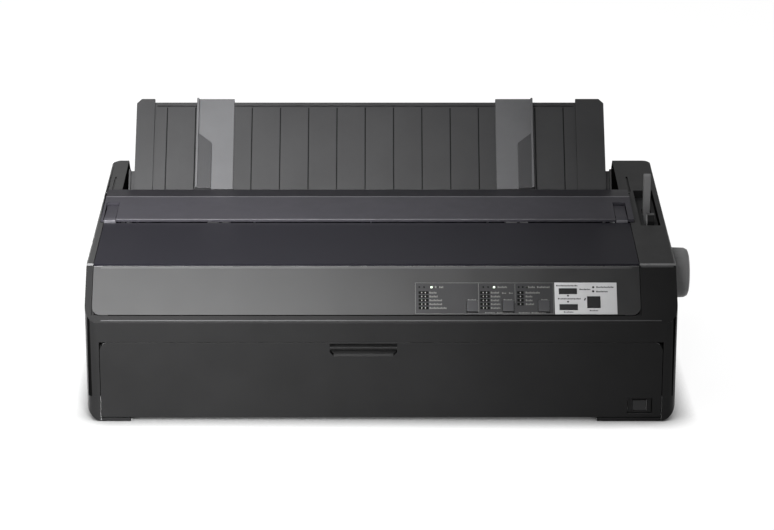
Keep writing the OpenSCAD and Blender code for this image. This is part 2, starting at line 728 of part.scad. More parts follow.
module front_door() color(case_grey) stand() {
  difference() {
    union() {
      front_slab(0, door_t) door_outline();
      front_slab(0, pull_deep) pull_outline(1.6);
      // ribs that stiffen the plate
      for (x = [-240, -120, 100, 200]) block(x, x + 2, door_t - 1, front_wall_y - 4, 30, door_top - 4);
    }
    front_slab(-1, pull_deep - 1.6) pull_outline(0);
    block(switch_x - rocker_w / 2 - switch_edge - gap, switch_x + rocker_w / 2 + switch_edge + gap,
      -1, front_wall_y - 3, door_foot + 3.6, switch_z + rocker_h / 2 + 2.2);
  }
  // the lip that the fingers pull
  block(pull_x - pull_w / 2, pull_x + pull_w / 2, 0, 2, pull_z + 7.4, pull_z + 9);
  for (side = [-1, 1]) {
    x0 = side > 0 ? door_w / 2 - 6 : -door_w / 2;
    block(x0, x0 + 6, 1, door_pin_y, door_pin_z - 2.6, door_pin_z + 2.6);
    x_rod(2.6, x0, x0 + 6, door_pin_y, door_pin_z);
    x_rod(pin_r, min(side * (door_w / 2 - 1), side * (door_w / 2 + 3)),
      max(side * (door_w / 2 - 1), side * (door_w / 2 + 3)), door_pin_y, door_pin_z);
  }
}

unit_chamfer = 3;    // its rear edge is cut off, so that it clears the deck as the unit swings up

function unit_top() = [
  [unit_y, deck_z(unit_y) + lip_h], [ridge_y, deck_z(ridge_y) + ridge_h],
  [unit_end, deck_z(unit_end) + ridge_h - 2.4]
];

module tab_space(x, t)
  block(x - t, x + tab_w + t, unit_y - 1 - t, unit_y + tab_d + t, deck_z(unit_y) - 8,
    deck_z(unit_y) + 30);

module tension_cover() color(smoke) stand() {
  top = unit_top();
  difference() {
    union() {
      side_slab([
        [unit_y, deck_z(unit_y) + 0.3], [unit_y + smoke_t, deck_z(unit_y) + 0.3],
        top[0] + [smoke_t, -smoke_t], top[1] + [0, -smoke_t], top[2] + [-smoke_t, -smoke_t],
        [unit_end - smoke_t, unit_pin_z + 2], [unit_end, unit_pin_z + 2],
        top[2] - [0, unit_chamfer], top[2] - [unit_chamfer, 0], top[1], top[0]
      ], unit_l, unit_r);
      for (x = [unit_l, unit_r - smoke_t])
        side_slab([
          [unit_y, deck_z(unit_y) + 0.3], [unit_pin_y - 9, deck_z(unit_pin_y - 9) - 1],
          top[1] + [0, -1], top[0] + [0, -1]
        ], x, x + smoke_t);
    }
    tab_space(tab_l_x, notch);
    tab_space(tab_r_x, notch);
    // clearance round the hinge bosses
    x_rod(boss_r + 0.5, unit_l - 1, unit_pin_l(), unit_pin_y, unit_pin_z);
    x_rod(boss_r + 0.5, unit_pin_r(), unit_r + 1, unit_pin_y, unit_pin_z);
  }
  // hinge arms and pins
  for (x = [unit_pin_l(), unit_pin_r() - wall]) {
    x_rod(boss_r, x, x + wall, unit_pin_y, unit_pin_z);
    block(x, x + wall, unit_pin_y - boss_r, unit_pin_y + boss_r, unit_pin_z,
      deck_z(unit_pin_y) + 2.4);
  }
  x_rod(pin_r, unit_pin_l() - 4, unit_pin_l() + 1, unit_pin_y, unit_pin_z);
  x_rod(pin_r, unit_pin_r() - 1, unit_pin_r() + 4, unit_pin_y, unit_pin_z);
  // pads that carry the lock tabs
  for (x = [tab_l_x, tab_r_x])
    block(x - 2, x + tab_w + 2, unit_y + tab_d + 1, unit_y + tab_d + 6,
      deck_z(unit_y + tab_d) - 5, deck_z(unit_y + tab_d) + 3.2);
  for (x = [tab_l_x, tab_r_x])
    side_slab([
      [unit_y + 6, deck_z(unit_y + 6) - tab_floor - 1.6],
      [unit_y + tab_d + 2, deck_z(unit_y + tab_d + 2) - tab_floor - 1.6],
      [unit_y + tab_d + 2, deck_z(unit_y + tab_d + 2) - tab_floor],
      [unit_y + 6, deck_z(unit_y + 6) - tab_floor]
    ], x + 2, x + tab_w - 2);
}

module lock_tab(x) color("#3a3a3f") stand() {
  side_slab([
    [unit_y - 0.6, deck_z(unit_y) - 2.4], [unit_y + 3, deck_z(unit_y) - 1.6],
    [unit_y + tab_d, deck_z(unit_y + tab_d) - 2], [unit_y + tab_d, deck_z(unit_y + tab_d) + 1.4],
    [unit_y + 14, deck_z(unit_y + 14) + 2.2], [unit_y + 5, deck_z(unit_y + 5) + 3.6],
    [unit_y - 0.6, deck_z(unit_y) + 2]
  ], x, x + tab_w);
}

frame_x0 = frame_l + 19;
frame_x1 = frame_r - 16;

module tension_frame() color(steel) stand() difference() {
  union() {
    // a channel under the cover, and the arms that carry the rollers
    block(frame_x0, frame_x1, roller_y - 14, roller_y + 12, deck_z(roller_y) - 3.2,
      deck_z(roller_y) - 1.6);
    for (y = [roller_y - 14, roller_y + 10.4])
      block(frame_x0, frame_x1, y, y + 1.6, deck_z(roller_y) - 9, deck_z(roller_y) - 2);
    for (x = tension_arms())
      side_slab([
        [roller_y - 6, roller_z - 4], [roller_y + 6, roller_z - 4],
        [roller_y + 9, deck_z(roller_y) - 2], [roller_y - 9, deck_z(roller_y) - 2]
      ], x, x + 1.6);
    // feet that meet the cover's underside
    for (x = [-200, -60, 60, 200])
      side_slab([
        [roller_y - 6, deck_z(roller_y) - 2], [roller_y + 6, deck_z(roller_y) - 2],
        [roller_y + 6, unit_top_z(roller_y + 6) - skin_drop], [roller_y - 6, unit_top_z(roller_y - 6) - skin_drop]
      ], x, x + 6);
  }
  x_rod(2 + run, frame_x0 - 1, frame_x1 + 1, roller_y, roller_z);
}

skin_drop = smoke_t + touch;  // depth of the feet's tops below the cover's outer surface

function tension_arms() = [for (i = [0 : 4]) frame_x0 + i * (frame_x1 - frame_x0 - 1.6) / 4];
function unit_top_z(y) =
  deck_z(unit_y) + lip_h + (y - unit_y) * (deck_z(ridge_y) + ridge_h - deck_z(unit_y) - lip_h) / unit_front_d;

module tension_rollers() color("#2a2a2a") stand() {
  x_rod(2, frame_x0 - 3, frame_x1 + 3, roller_y, roller_z);
  for (i = [0 : 3]) {
    x = frame_x0 + (i + 0.5) * (frame_x1 - frame_x0) / 4;
    x_rod(tension_r, x - 16, x + 16, roller_y, roller_z);
  }
}

// ---- sheet guide: local y runs up the guide, local z is its front ----

module on_guide() translate([0, guide_y, guide_z]) rotate([guide_lean, 0, 0]) children();
guide_face = 2.2;
guide_foot = 22;
arm_len = 50;

module sheet_guide() color("#343436") stand() {
  on_guide() difference() {
    union() {
      translate([guide_l, 0, guide_face - guide_t]) cube([guide_r - guide_l, guide_len, guide_t]);
      translate([guide_l, 0, guide_face - root]) linear_extrude(rail_t + root)
        guide_rail_outline(0, rail_l, 1);
      translate([guide_r - rail_r, 0, guide_face - root]) linear_extrude(rail_t + root)
        guide_rail_outline(0, rail_r, -1);
    }
    translate([guide_l + rail_l + 2, guide_len - 5, guide_face - 0.9])
      cube([guide_r - guide_l - rail_l - rail_r - 4, groove_w, 2]);
    for (i = [0 : groove_n - 1])
      translate([groove_x(i), guide_foot, guide_face - 0.9])
        cube([groove_w, guide_len - guide_foot - 6, 2]);
    for (x = [guide_l, guide_r])
      translate([x, guide_len + 4, -9]) rotate([0, 0, 45]) cube([9, 9, 40], center = true);
  }
  x_rod(guide_t / 2 + 0.6, guide_l - 5, guide_r + 5, guide_y, guide_z);
  x_rod(pin_r, mouth_l - wall + 0.2, guide_l + 1, guide_y, guide_z);
  x_rod(pin_r, guide_r - 1, mouth_r + wall - 0.2, guide_y, guide_z);
  // an arm on each side, joined to the panel by a web
  for (x = [[guide_l - 6, guide_l - 6], [guide_r + 4, guide_r - 1]]) on_guide() {
    translate([x[0], -2.4, guide_face - guide_t]) cube([2, arm_len, guide_t + rail_t]);
    translate([x[1], -2.4, guide_face - guide_t]) cube([7, arm_len, 2]);
  }
}

function groove_x(i) = (guide_l + guide_r) / 2 - 6 + (i - (groove_n - 1) / 2) * groove_pitch;

module guide_rail_outline(x, w, side) translate([x, guide_foot]) difference() {
  square([w, guide_len - guide_foot + 3]);
  translate([side > 0 ? 0 : w, guide_len - guide_foot + 3]) rotate(45) square(6, center = true);
}

module edge_guide(x, fence) color("#6f7074") stand() on_guide() {
  z0 = guide_face + 0.3;
  // plate, with a hook over the guide's top edge
  translate([x, guide_foot + 2, z0]) cube([edge_w, guide_len - guide_foot + 1, edge_t]);
  translate([x, guide_len + 0.4, guide_face - guide_t - 2.4])
    cube([edge_w, 3, guide_t + 2.4 + 0.3 + edge_t]);
  translate([x, guide_len - 10, guide_face - guide_t - 2.4]) cube([edge_w, 12, 2]);
  // fence, widening into a flap near the foot
  flap_w = 17;
  fx = fence > 0 ? x + edge_w - 2.4 : x;
  translate([fx, guide_foot + 2, z0]) cube([2.4, guide_len - guide_foot, edge_t + 6]);
  flap_top = guide_len - 38;
  translate([0, 0, z0 + edge_t - eps]) linear_extrude(4) polygon(
    fence > 0
    ? [[x + edge_w, guide_foot + 2], [x + edge_w, flap_top], [x + edge_w - flap_w, flap_top - 14],
       [x + edge_w - flap_w, guide_foot + 2]]
    : [[x, guide_foot + 2], [x + flap_w, guide_foot + 2], [x + flap_w, flap_top - 14], [x, flap_top]]
  );
}

// ---- levers ----

module release_lever() color("#8a8b8e") stand() difference() {
  union() {
    x_rod(stud_r + 3, lever_x - lever_w / 2, lever_x + lever_w / 2, release_y, stud_z);
    side_slab([
      [release_y - 3.4, stud_z], [release_y + 3.4, stud_z], [release_y + 2.4, release_top - 3],
      [release_y + 1, release_top], [release_y - 1.6, release_top], [release_y - 3, release_top - 3]
    ], lever_x - lever_w / 2, lever_x + lever_w / 2);
  }
  x_rod(stud_r + run, lever_x - lever_w, lever_x + lever_w, release_y, stud_z);
}

module gap_lever() color("#3f3f43") stand() difference() {
  union() {
    x_rod(stud_r + 3, lever_x - lever_w / 2, lever_x + lever_w / 2, gap_lever_y - 4, stud_z);
    side_slab([
      [gap_lever_y - 8, stud_z], [gap_lever_y, stud_z], [gap_lever_y, deck_z(gap_lever_y) - 6],
      [gap_lever_y + 8, deck_z(gap_lever_y) + 0.4], [gap_lever_y + 2, deck_z(gap_lever_y) + 6.4],
      [gap_lever_y - 7, deck_z(gap_lever_y) + 6.4], [gap_lever_y - 12, deck_z(gap_lever_y) + 1],
      [gap_lever_y - 8, deck_z(gap_lever_y) - 6]
    ], lever_x - lever_w / 2, lever_x + lever_w / 2);
  }
  x_rod(stud_r + run, lever_x - lever_w, lever_x + lever_w, gap_lever_y - 4, stud_z);
}

// ---- platen and gears ----

platen_l = frame_l + 19;
platen_end = frame_r - 16;

module platen() color("#1d1d1f") stand() difference() {
  x_rod(platen_r, platen_l, platen_end, platen_y, platen_z);
  x_rod(shaft_r, platen_l - 1, platen_end + 1, platen_y, platen_z);
}

module platen_shaft() color(steel) stand()
  x_rod(shaft_r, frame_l - 3, half_w + knob_gap + 12, platen_y, platen_z);

module platen_knob() color("#4a4a4c") stand() {
  x0 = half_w + knob_gap;
  x1 = half_w + knob_out;
  difference() {
    translate([x0, platen_y, platen_z]) rotate([0, 90, 0]) rotate_extrude() polygon([
      [shaft_r, 0], [knob_r - 1, 0], [knob_r, 1.2], [knob_r - 0.8, x1 - x0 - 5],
      [knob_r - 2.6, x1 - x0 - 1.4], [knob_r - 6, x1 - x0], [0, x1 - x0], [0, 12 + eps],
      [shaft_r, 12 + eps]
    ]);
    for (i = [0 : 35]) translate([x0, platen_y, platen_z]) rotate([i * 10, 0, 0])
      translate([3, 0, knob_r + 0.2]) rotate([0, 90, 0]) cylinder(r = 0.9, h = x1 - x0 - 9, $fn = 8);
  }
}

function pitch_r(teeth) = gear_m * teeth / 2;

// Angle of a tooth of a gear that meshes with one whose tooth stands at phase, seen along +X.
function mesh_phase(direction, phase, teeth, mate) =
  direction + 180 - ((phase - direction) * teeth + 180) / mate;

function gear_outline(teeth, phase) = [
  for (i = [0 : teeth - 1], c = [[-0.31, -1.15], [-0.11, 0.85], [0.11, 0.85], [0.31, -1.15]])
    let (a = phase + (i + c[0]) * 360 / teeth, r = pitch_r(teeth) + c[1] * gear_m)
    [r * cos(a), r * sin(a)]
];

module gear(teeth, phase, p, bore_r, x = gear_x, w = gear_w) difference() {
  translate([x, p[0], p[1]]) rotate([90, 0, 90]) linear_extrude(w) polygon(gear_outline(teeth, phase));
  x_rod(bore_r, x - 1, x + w + 1, p[0], p[1]);
}

platen_at = [platen_y, platen_z];
reduce_dir = 235;
reduce_at = platen_at + (pitch_r(platen_teeth) + pitch_r(reduce_teeth)) * [cos(reduce_dir), sin(reduce_dir)];
pinion_dir = 215;
pinion_at = reduce_at + (pitch_r(reduce_teeth) + pitch_r(pinion_teeth)) * [cos(pinion_dir), sin(pinion_dir)];
idler_dir = -10;
idler_at = platen_at + (pitch_r(platen_teeth) + pitch_r(idler_teeth)) * [cos(idler_dir), sin(idler_dir)];
drive_at = [drive_y, tractor_z];
to_drive = drive_at - idler_at;
// the rear idler closes the triangle between the front idler and the drive shaft
idler_span = 2 * pitch_r(idler_teeth);
drive_span = pitch_r(idler_teeth) + pitch_r(tractor_teeth);
idler2_dir = atan2(to_drive[1], to_drive[0])
  - acos((idler_span ^ 2 + norm(to_drive) ^ 2 - drive_span ^ 2) / (2 * idler_span * norm(to_drive)));
idler2_at = idler_at + idler_span * [cos(idler2_dir), sin(idler2_dir)];
last_dir = atan2((drive_at - idler2_at)[1], (drive_at - idler2_at)[0]);
reduce_phase = mesh_phase(reduce_dir, 0, platen_teeth, reduce_teeth);
pinion_phase = mesh_phase(pinion_dir, reduce_phase, reduce_teeth, pinion_teeth);
idler_phase = mesh_phase(idler_dir, 0, platen_teeth, idler_teeth);
idler2_phase = mesh_phase(idler2_dir, idler_phase, idler_teeth, idler_teeth);
drive_phase = mesh_phase(last_dir, idler2_phase, idler_teeth, tractor_teeth);
motor_shaft_r = 2.5;
gear_pin_r = 3;

module platen_gear() color(pale) stand() gear(platen_teeth, 0, platen_at, shaft_r);
module reduction_gear() color(pale) stand() gear(reduce_teeth, reduce_phase, reduce_at, gear_pin_r + run);
module feed_pinion() color(pale) stand() gear(pinion_teeth, pinion_phase, pinion_at, motor_shaft_r + run);
module idler_front() color(pale) stand() gear(idler_teeth, idler_phase, idler_at, gear_pin_r + run);
module idler_rear() color(pale) stand() gear(idler_teeth, idler2_phase, idler2_at, gear_pin_r + run);

bush_r = shaft_r + 3;

module platen_bushes() color(pale) stand() for (x = [frame_l, frame_r]) difference() {
  union() {
    x_rod(bush_r, x, x + frame_t, platen_y, platen_z);
    x_rod(bush_r + 3, x + (x < 0 ? frame_t : -2), x + (x < 0 ? frame_t + 2 : 0), platen_y, platen_z);
  }
  x_rod(shaft_r + run, x - 4, x + frame_t + 4, platen_y, platen_z);
}

module feed_motor() color("#3c3c40") stand() {
  difference() {
    block(frame_r - motor_s, frame_r, pinion_at[0] - motor_s / 2, pinion_at[0] + motor_s / 2,
      pinion_at[1] - motor_s / 2, pinion_at[1] + motor_s / 2);
    x_rod(4, frame_r - 3, frame_r + 1, pinion_at[0], pinion_at[1]);
  }
  x_rod(motor_shaft_r, frame_r - 4, gear_x + gear_w + 1, pinion_at[0], pinion_at[1]);
}

// ---- frame ----

function frame_side() = [
  [base_y0, base_z + base_t], [base_y1, base_z + base_t], [base_y1, tractor_z + 18],
  [platen_y + 72, tractor_z + 18], [platen_y + 50, platen_z + 46], [platen_y - 50, platen_z + 46],
  [platen_y - 78, platen_z + 28], [base_y0, platen_z + 28]
];

module frame_holes(x) {
  x_rod(bush_r, x - 1, x + frame_t + 1, platen_y, platen_z);
  x_rod(rod_r, x - 1, x + frame_t + 1, rod_y, rod_z);
  x_rod(tractor_rod_r, x - 1, x + frame_t + 1, drive_y - tractor_gap, tractor_z);
  x_rod(square_s * 0.75 + run, x - 1, x + frame_t + 1, drive_y, tractor_z);
}

module frame_left() color(steel) stand() difference() {
  side_slab(frame_side(), frame_l, frame_l + frame_t);
  frame_holes(frame_l);
}

module frame_right() color(steel) stand() {
  difference() {
    side_slab(frame_side(), frame_r, frame_r + frame_t);
    frame_holes(frame_r);
    x_rod(4.5, frame_r - 1, frame_r + frame_t + 1, pinion_at[0], pinion_at[1]);
  }
  for (p = [reduce_at, idler_at, idler2_at]) {
    x_rod(gear_pin_r + 2, frame_r + frame_t - eps, gear_x - 0.2, p[0], p[1]);
    x_rod(gear_pin_r, frame_r + frame_t - eps, gear_x + gear_w + 1, p[0], p[1]);
  }
  for (y = [release_y, gap_lever_y - 4]) {
    x_rod(stud_r, frame_r + frame_t - eps, lever_x + lever_w / 2 + 2, y, stud_z);
    x_rod(stud_r + 2, frame_r + frame_t - eps, lever_x - lever_w / 2 - 0.2, y, stud_z);
  }
}

belt_y = rod_y - 22;
belt_z = rod_z - 24;
belt_l = frame_l + 19;
belt_r = frame_r - 60;

module base_plate() color(steel) stand() {
  block(frame_l, frame_r + frame_t, base_y0, base_y1, base_z, base_z + base_t);
  // post of the belt's idler pulley
  z_rod(5, belt_r, belt_y, base_z, belt_z - 1.2);
  z_rod(3, belt_r, belt_y, base_z, belt_z + belt_w + 2);
}

module guide_rod() color("#c9cbce") stand() x_rod(rod_r, frame_l - 2, frame_r + frame_t + 2, rod_y, rod_z);

rail_y = rod_y - 46;
rail_top = rod_z - 10;

module guide_rail() color(steel) stand() {
  block(frame_l + frame_t, frame_r, rail_y - 10, rail_y + 4, rail_top - 2, rail_top);
  block(frame_l + frame_t, frame_r, rail_y - 10, rail_y - 8, rail_top - 14, rail_top - 1);
}

// ---- carriage, head and ribbon ----

ribbon_y = platen_y - platen_r - 1.6;
ribbon_l = frame_l + 23;
ribbon_end = frame_r - 20;
carriage_x = frame_l + carriage_park;
ribbon_case_z = platen_z - 4;

module carriage() color("#2e2e31") stand() translate([carriage_x, 0, 0]) difference() {
  union() {
    block(-carriage_w / 2, carriage_w / 2, rail_y - 8, rod_y + rod_r + 5, rail_top + 0.1, rod_z + 10);
    // lug that grips the belt's front run
    block(-8, 8, belt_y - pulley_r - belt_t - 5, belt_y - pulley_r - belt_t - 0.2, belt_z - 1,
      rail_top + 2);
  }
  x_rod(rod_r + run, -carriage_w, carriage_w, rod_y, rod_z);
  // weight-saving pocket
  block(-carriage_w / 2 + 6, carriage_w / 2 - 6, rail_y + 6, rod_y - rod_r - 6, rail_top + 8, rod_z + 11);
}

head_z = rod_z + 10;

module print_head() color("#55565a") stand() translate([carriage_x, 0, 0]) {
  block(-18, 18, rod_y - 26, rod_y + 8, head_z, head_z + 16);
  // cooling fins
  for (i = [0 : 6]) block(-18, 18, rod_y - 26 + i * 4, rod_y - 24.4 + i * 4, head_z + 16 - eps, head_z + 26);
  // nose that carries the needles
  side_slab([
    [rod_y + 8 - eps, head_z], [ribbon_y - 0.5, platen_z - 5], [ribbon_y - 0.5, platen_z + 5],
    [rod_y + 8 - eps, head_z + 14]
  ], -7, 7);
}

module ribbon_case() color("#242427") stand() difference() {
  union() {
    block(ribbon_l, ribbon_end, ribbon_y - 55 - ribbon_d, ribbon_y - 55, ribbon_case_z,
      ribbon_case_z + ribbon_case_h);
    for (x = [ribbon_l, ribbon_end - 12])
      block(x, x + 12, ribbon_y - 56, ribbon_y - 8, ribbon_case_z - 4, ribbon_case_z + 14);
    // end tabs that lie between the side frames
    block(frame_l + frame_t + 0.2, ribbon_l + eps, ribbon_y - 90, ribbon_y - 74,
      ribbon_case_z + 6, ribbon_case_z + 11);
    block(ribbon_end - eps, frame_r - 0.2, ribbon_y - 90, ribbon_y - 74,
      ribbon_case_z + 6, ribbon_case_z + 11);
  }
  z_rod(3 + run, ribbon_l + 34, ribbon_y - 85, ribbon_case_z + ribbon_case_h - 10,
    ribbon_case_z + ribbon_case_h + 1);
}

module ribbon_band() color("#101012") stand() {
  z0 = platen_z - ribbon_h / 2;
  block(ribbon_l + 6, ribbon_end - 6, ribbon_y - ribbon_t / 2, ribbon_y + ribbon_t / 2, z0, z0 + ribbon_h);
  for (x = [ribbon_l + 6, ribbon_end - 6])
    block(x - ribbon_t / 2, x + ribbon_t / 2, ribbon_y - 8, ribbon_y + ribbon_t / 2, z0, z0 + ribbon_h);
}

module ribbon_knob() color("#3b6f8f") stand() difference() {
  top = ribbon_case_z + ribbon_case_h;
  union() {
    z_rod(ribbon_knob_r, ribbon_l + 34, ribbon_y - 85, top + 0.2, top + 7);
    z_rod(3, ribbon_l + 34, ribbon_y - 85, top - 8, top + 1);
  }
  for (i = [0 : 11]) translate([ribbon_l + 34, ribbon_y - 85, top + 1]) rotate(i * 30)
    translate([ribbon_knob_r, 0, 0]) cylinder(r = 1.2, h = 8);
}

module carriage_motor() color("#3c3c40") stand() {
  block(belt_l - 14, belt_l + motor_s - 14, belt_y - motor_s / 2, belt_y + motor_s / 2,
    base_z + base_t, belt_z - 3);
  z_rod(motor_shaft_r, belt_l, belt_y, belt_z - 4, belt_z + belt_w + 2);
}

module pulley(x, bore_r) difference() {
  union() {
    z_rod(pulley_r, x, belt_y, belt_z - 1, belt_z + belt_w + 1);
    for (z = [belt_z - 1, belt_z + belt_w]) z_rod(pulley_r + belt_t + 0.2, x, belt_y, z, z + 1);
  }
  z_rod(bore_r + run, x, belt_y, belt_z - 2, belt_z + belt_w + 2);
}

module drive_pulley() color(steel) stand() pulley(belt_l, motor_shaft_r);
module idler_pulley() color(steel) stand() pulley(belt_r, 3);

module belt_outline(r) {
  translate([belt_l, belt_y - r]) square([belt_r - belt_l, 2 * r]);
  for (x = [belt_l, belt_r]) translate([x, belt_y]) circle(r);
}

module carriage_belt() color("#141414") stand()
  translate([0, 0, belt_z + 0.2]) linear_extrude(belt_w - 0.4) difference() {
    belt_outline(pulley_r + belt_t);
    belt_outline(pulley_r + 0.05);
  }

// ---- tractors ----

tractor_l_x = frame_l + tractor_in_l;
tractor_r_x = frame_r - tractor_in_r;
tractor_y0 = drive_y - tractor_gap - 17;
tractor_y1 = drive_y + 18;
tractor_top = tractor_z + 14;
lid_z = tractor_top + 2.8;

module tractor(x) color("#303033") stand() difference() {
  union() {
    block(x - tractor_w / 2, x + tractor_w / 2, tractor_y0, tractor_y1, tractor_z - 14, tractor_top - 2);
    // row of pins that take the paper's holes
    for (i = [0 : 3]) z_rod(1.9, x + 2, tractor_y0 + 12 + i * 12.7, tractor_top - 3, tractor_top + 0.8);
    // ears that hold the lid's pins
    for (y = [tractor_y0, tractor_y1 - 4])
      block(x - tractor_w / 2, x - tractor_w / 2 + 4, y, y + 4, tractor_top - 3, lid_z + 2.4);
  }
  x_rod(tractor_rod_r + run, x - tractor_w, x + tractor_w, drive_y - tractor_gap, tractor_z);
  x_rod(square_s * 0.75, x - tractor_w, x + tractor_w, drive_y, tractor_z);
  y_rod(1.2 + run, x - tractor_w / 2 + 2, tractor_y0 - 1, tractor_y1 + 1, lid_z);
}

module tractor_lid(x) color("#3c3c40") stand() difference() {
  union() {
    block(x - tractor_w / 2 + 4.4, x + tractor_w / 2, tractor_y0 + 4.3, tractor_y1 - 4.3, tractor_top + 1.2,
      tractor_top + 1.2 + lid_t);
    y_rod(2, x - tractor_w / 2 + 2, tractor_y0 + 4.3, tractor_y1 - 4.3, lid_z);
    y_rod(1.2, x - tractor_w / 2 + 2, tractor_y0 + 0.5, tractor_y1 - 0.5, lid_z);
    block(x - tractor_w / 2 + 2, x - tractor_w / 2 + 5, tractor_y0 + 4.3, tractor_y1 - 4.3,
      lid_z - 1, tractor_top + 1.2 + lid_t);
  }
  block(x + 0.4 - tractor_slot, x + 3.6 + tractor_slot, tractor_y0 + 8, tractor_y1 - 10, tractor_top - 1,
    tractor_top + 9);
}

tractor_slot = 0.6;

module tractor_shaft() color("#c9cbce") stand()
  x_rod(tractor_rod_r, frame_l - 2, frame_r + frame_t + 2, drive_y - tractor_gap, tractor_z);

module tractor_drive() color("#c9cbce") stand() {
  translate([frame_l - 2, drive_y, tractor_z]) rotate([drive_phase, 0, 0])
    translate([0, -square_s / 2, -square_s / 2]) cube([gear_x + gear_w - frame_l + 4, square_s, square_s]);
  for (x = [frame_l, frame_r]) x_rod(square_s * 0.75, x - 1, x + frame_t + 1, drive_y, tractor_z);
  gear(tractor_teeth, drive_phase, drive_at, 0.6);
}

// ---- electrics ----

inlet_x = -half_w + 74;
inlet_z = 52;
inlet_w = 28;
inlet_h = 20;
port_z = 40;
ports = [for (p = [[240, 40, 12], [190, 34, 11], [148, 13, 11]]) [half_w - p[0], p[1], p[2]]];

bay_w = frame_r - frame_l;   // the main board and the power supply share it
board_w = bay_w * 0.607;
supply_w = bay_w * 0.2644;

module main_board() color("#1f6b3a") stand() {
  z0 = base_z + base_t + 5;
  x1 = frame_r - 20;
  y1 = base_y1 - 6;
  k = board_w / 326;
  block(x1 - board_w, x1, y1 - 130, y1, z0, z0 + 1.6);
  for (x = [x1 - board_w + 6, x1 - 6], y = [y1 - 124, y1 - 6]) z_rod(3, x, y, base_z + base_t, z0);
  for (c = [[296, 96, 24, 24, 4], [236, 106, 40, 18, 4], [176, 86, 30, 30, 5], [106, 106, 26, 18, 16],
            [66, 76, 18, 40, 22], [296, 46, 60, 12, 10], [196, 36, 50, 10, 12]])
    block(x1 - c[0] * k, x1 - c[0] * k + c[2] * k, y1 - c[1], y1 - c[1] + c[3], z0 + 1.6 - eps, z0 + c[4]);
}

module power_supply() color("#8d8f92") stand() difference() {
  x0 = frame_l + 9;
  y1 = base_y1 - 6;
  top = base_z + base_t + 62.5;
  block(x0, x0 + supply_w, y1 - 90, y1, base_z + base_t, top);
  for (i = [0 : 11]) {
    x = x0 + 10 + i * (supply_w - 21) / 11;
    block(x, x + 6, y1 - 76, y1 - 14, top - 2, top + 1);
  }
}

module power_switch() color("#1a1a1c") stand()
  translate([switch_x, switch_y, switch_z]) rotate([6, 0, 0]) {
    side_slab([
      [-2.4, 0], [-3.2, rocker_h / 2 - 0.6], [3, rocker_h / 2 - 0.6], [3, -rocker_h / 2 + 0.6],
      [-3.2, -rocker_h / 2 + 0.6]
    ], -rocker_w / 2, rocker_w / 2);
    x_rod(switch_pin_r, -rocker_w / 2 - 2.4, rocker_w / 2 + 2.4, 0, 0);
  }

module sockets() color("#161617") stand() {
  difference() {
    union() {
      block(inlet_x - inlet_w / 2, inlet_x + inlet_w / 2, case_d - 26, case_d - 0.4,
        inlet_z - inlet_h / 2, inlet_z + inlet_h / 2);
      block(inlet_x - inlet_w / 2 - 4, inlet_x + inlet_w / 2 + 4, case_d - wall - 3, case_d - wall,
        inlet_z - inlet_h / 2 - 4, inlet_z + inlet_h / 2 + 4);
    }
    block(inlet_x - inlet_w / 2 + 2.5, inlet_x + inlet_w / 2 - 2.5, case_d - 18, case_d + 1,
      inlet_z - inlet_h / 2 + 2.5, inlet_z + inlet_h / 2 - 2.5);
  }
  for (x = [-7, 0, 7]) block(inlet_x + x - 1, inlet_x + x + 1, case_d - 19, case_d - 5,
    inlet_z - 2 + (x == 0 ? 2.4 : -2), inlet_z + 2 + (x == 0 ? 2.4 : -2));
  for (p = ports) difference() {
    union() {
      block(p[0] - p[1] / 2, p[0] + p[1] / 2, case_d - 16, case_d - 0.4, port_z, port_z + p[2]);
      block(p[0] - p[1] / 2 - 2, p[0] + p[1] / 2 + 2, case_d - wall - 3, case_d - wall,
        port_z - 2, port_z + p[2] + 2);
    }
    block(p[0] - p[1] / 2 + 2, p[0] + p[1] / 2 - 2, case_d - 9, case_d + 1, port_z + 2, port_z + p[2] - 2);
  }
}

module feet_and_screws() stand() {
  color("#101010") for (f = foot_blocks, r = foot_rows)
    block(max(f[0], under_r - half_w) + 2, min(f[1], half_w - under_r) - 2, r[0] + 3, r[1] - 3, 0, pad_h);
  color(steel) for (p = posts()) {
    z_rod(3.6, p[0], p[1], under_z + 0.2, under_z + 1.4);
    z_rod(1.5, p[0], p[1], under_z + 1.4 - eps, floor_z + 12);
  }
}

lower_case();
upper_case();
fascia();
indicator_plate();
key_plate();
panel_key(0);  // key_1
panel_key(1);  // key_2
panel_key(2);  // key_3
panel_key(3);  // key_4
panel_key(4);  // key_5
panel_key(5);  // key_6
indicator_lights();
key_board();
top_cover();
front_door();
tension_cover();
tension_frame();
tension_rollers();
lock_tab(tab_l_x);  // lock_tab_left
lock_tab(tab_r_x);  // lock_tab_right
sheet_guide();
edge_guide(edge_l_x, -1);  // edge_guide_left
edge_guide(edge_r_x, 1);  // edge_guide_right
release_lever();
gap_lever();
platen_knob();
platen();
platen_shaft();
platen_gear();
platen_bushes();
feed_motor();
feed_pinion();
reduction_gear();
idler_front();
idler_rear();
frame_left();
frame_right();
base_plate();
guide_rod();
guide_rail();
carriage();
print_head();
ribbon_case();
ribbon_band();
ribbon_knob();
carriage_motor();
drive_pulley();
idler_pulley();
carriage_belt();
tractor(tractor_l_x);  // tractor_left
tractor(tractor_r_x);  // tractor_right
tractor_lid(tractor_l_x);  // tractor_lid_left
tractor_lid(tractor_r_x);  // tractor_lid_right
tractor_shaft();
tractor_drive();
main_board();
power_supply();
power_switch();
sockets();
feet_and_screws();
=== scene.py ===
import json
import math

import bpy
from mathutils import Matrix, Vector

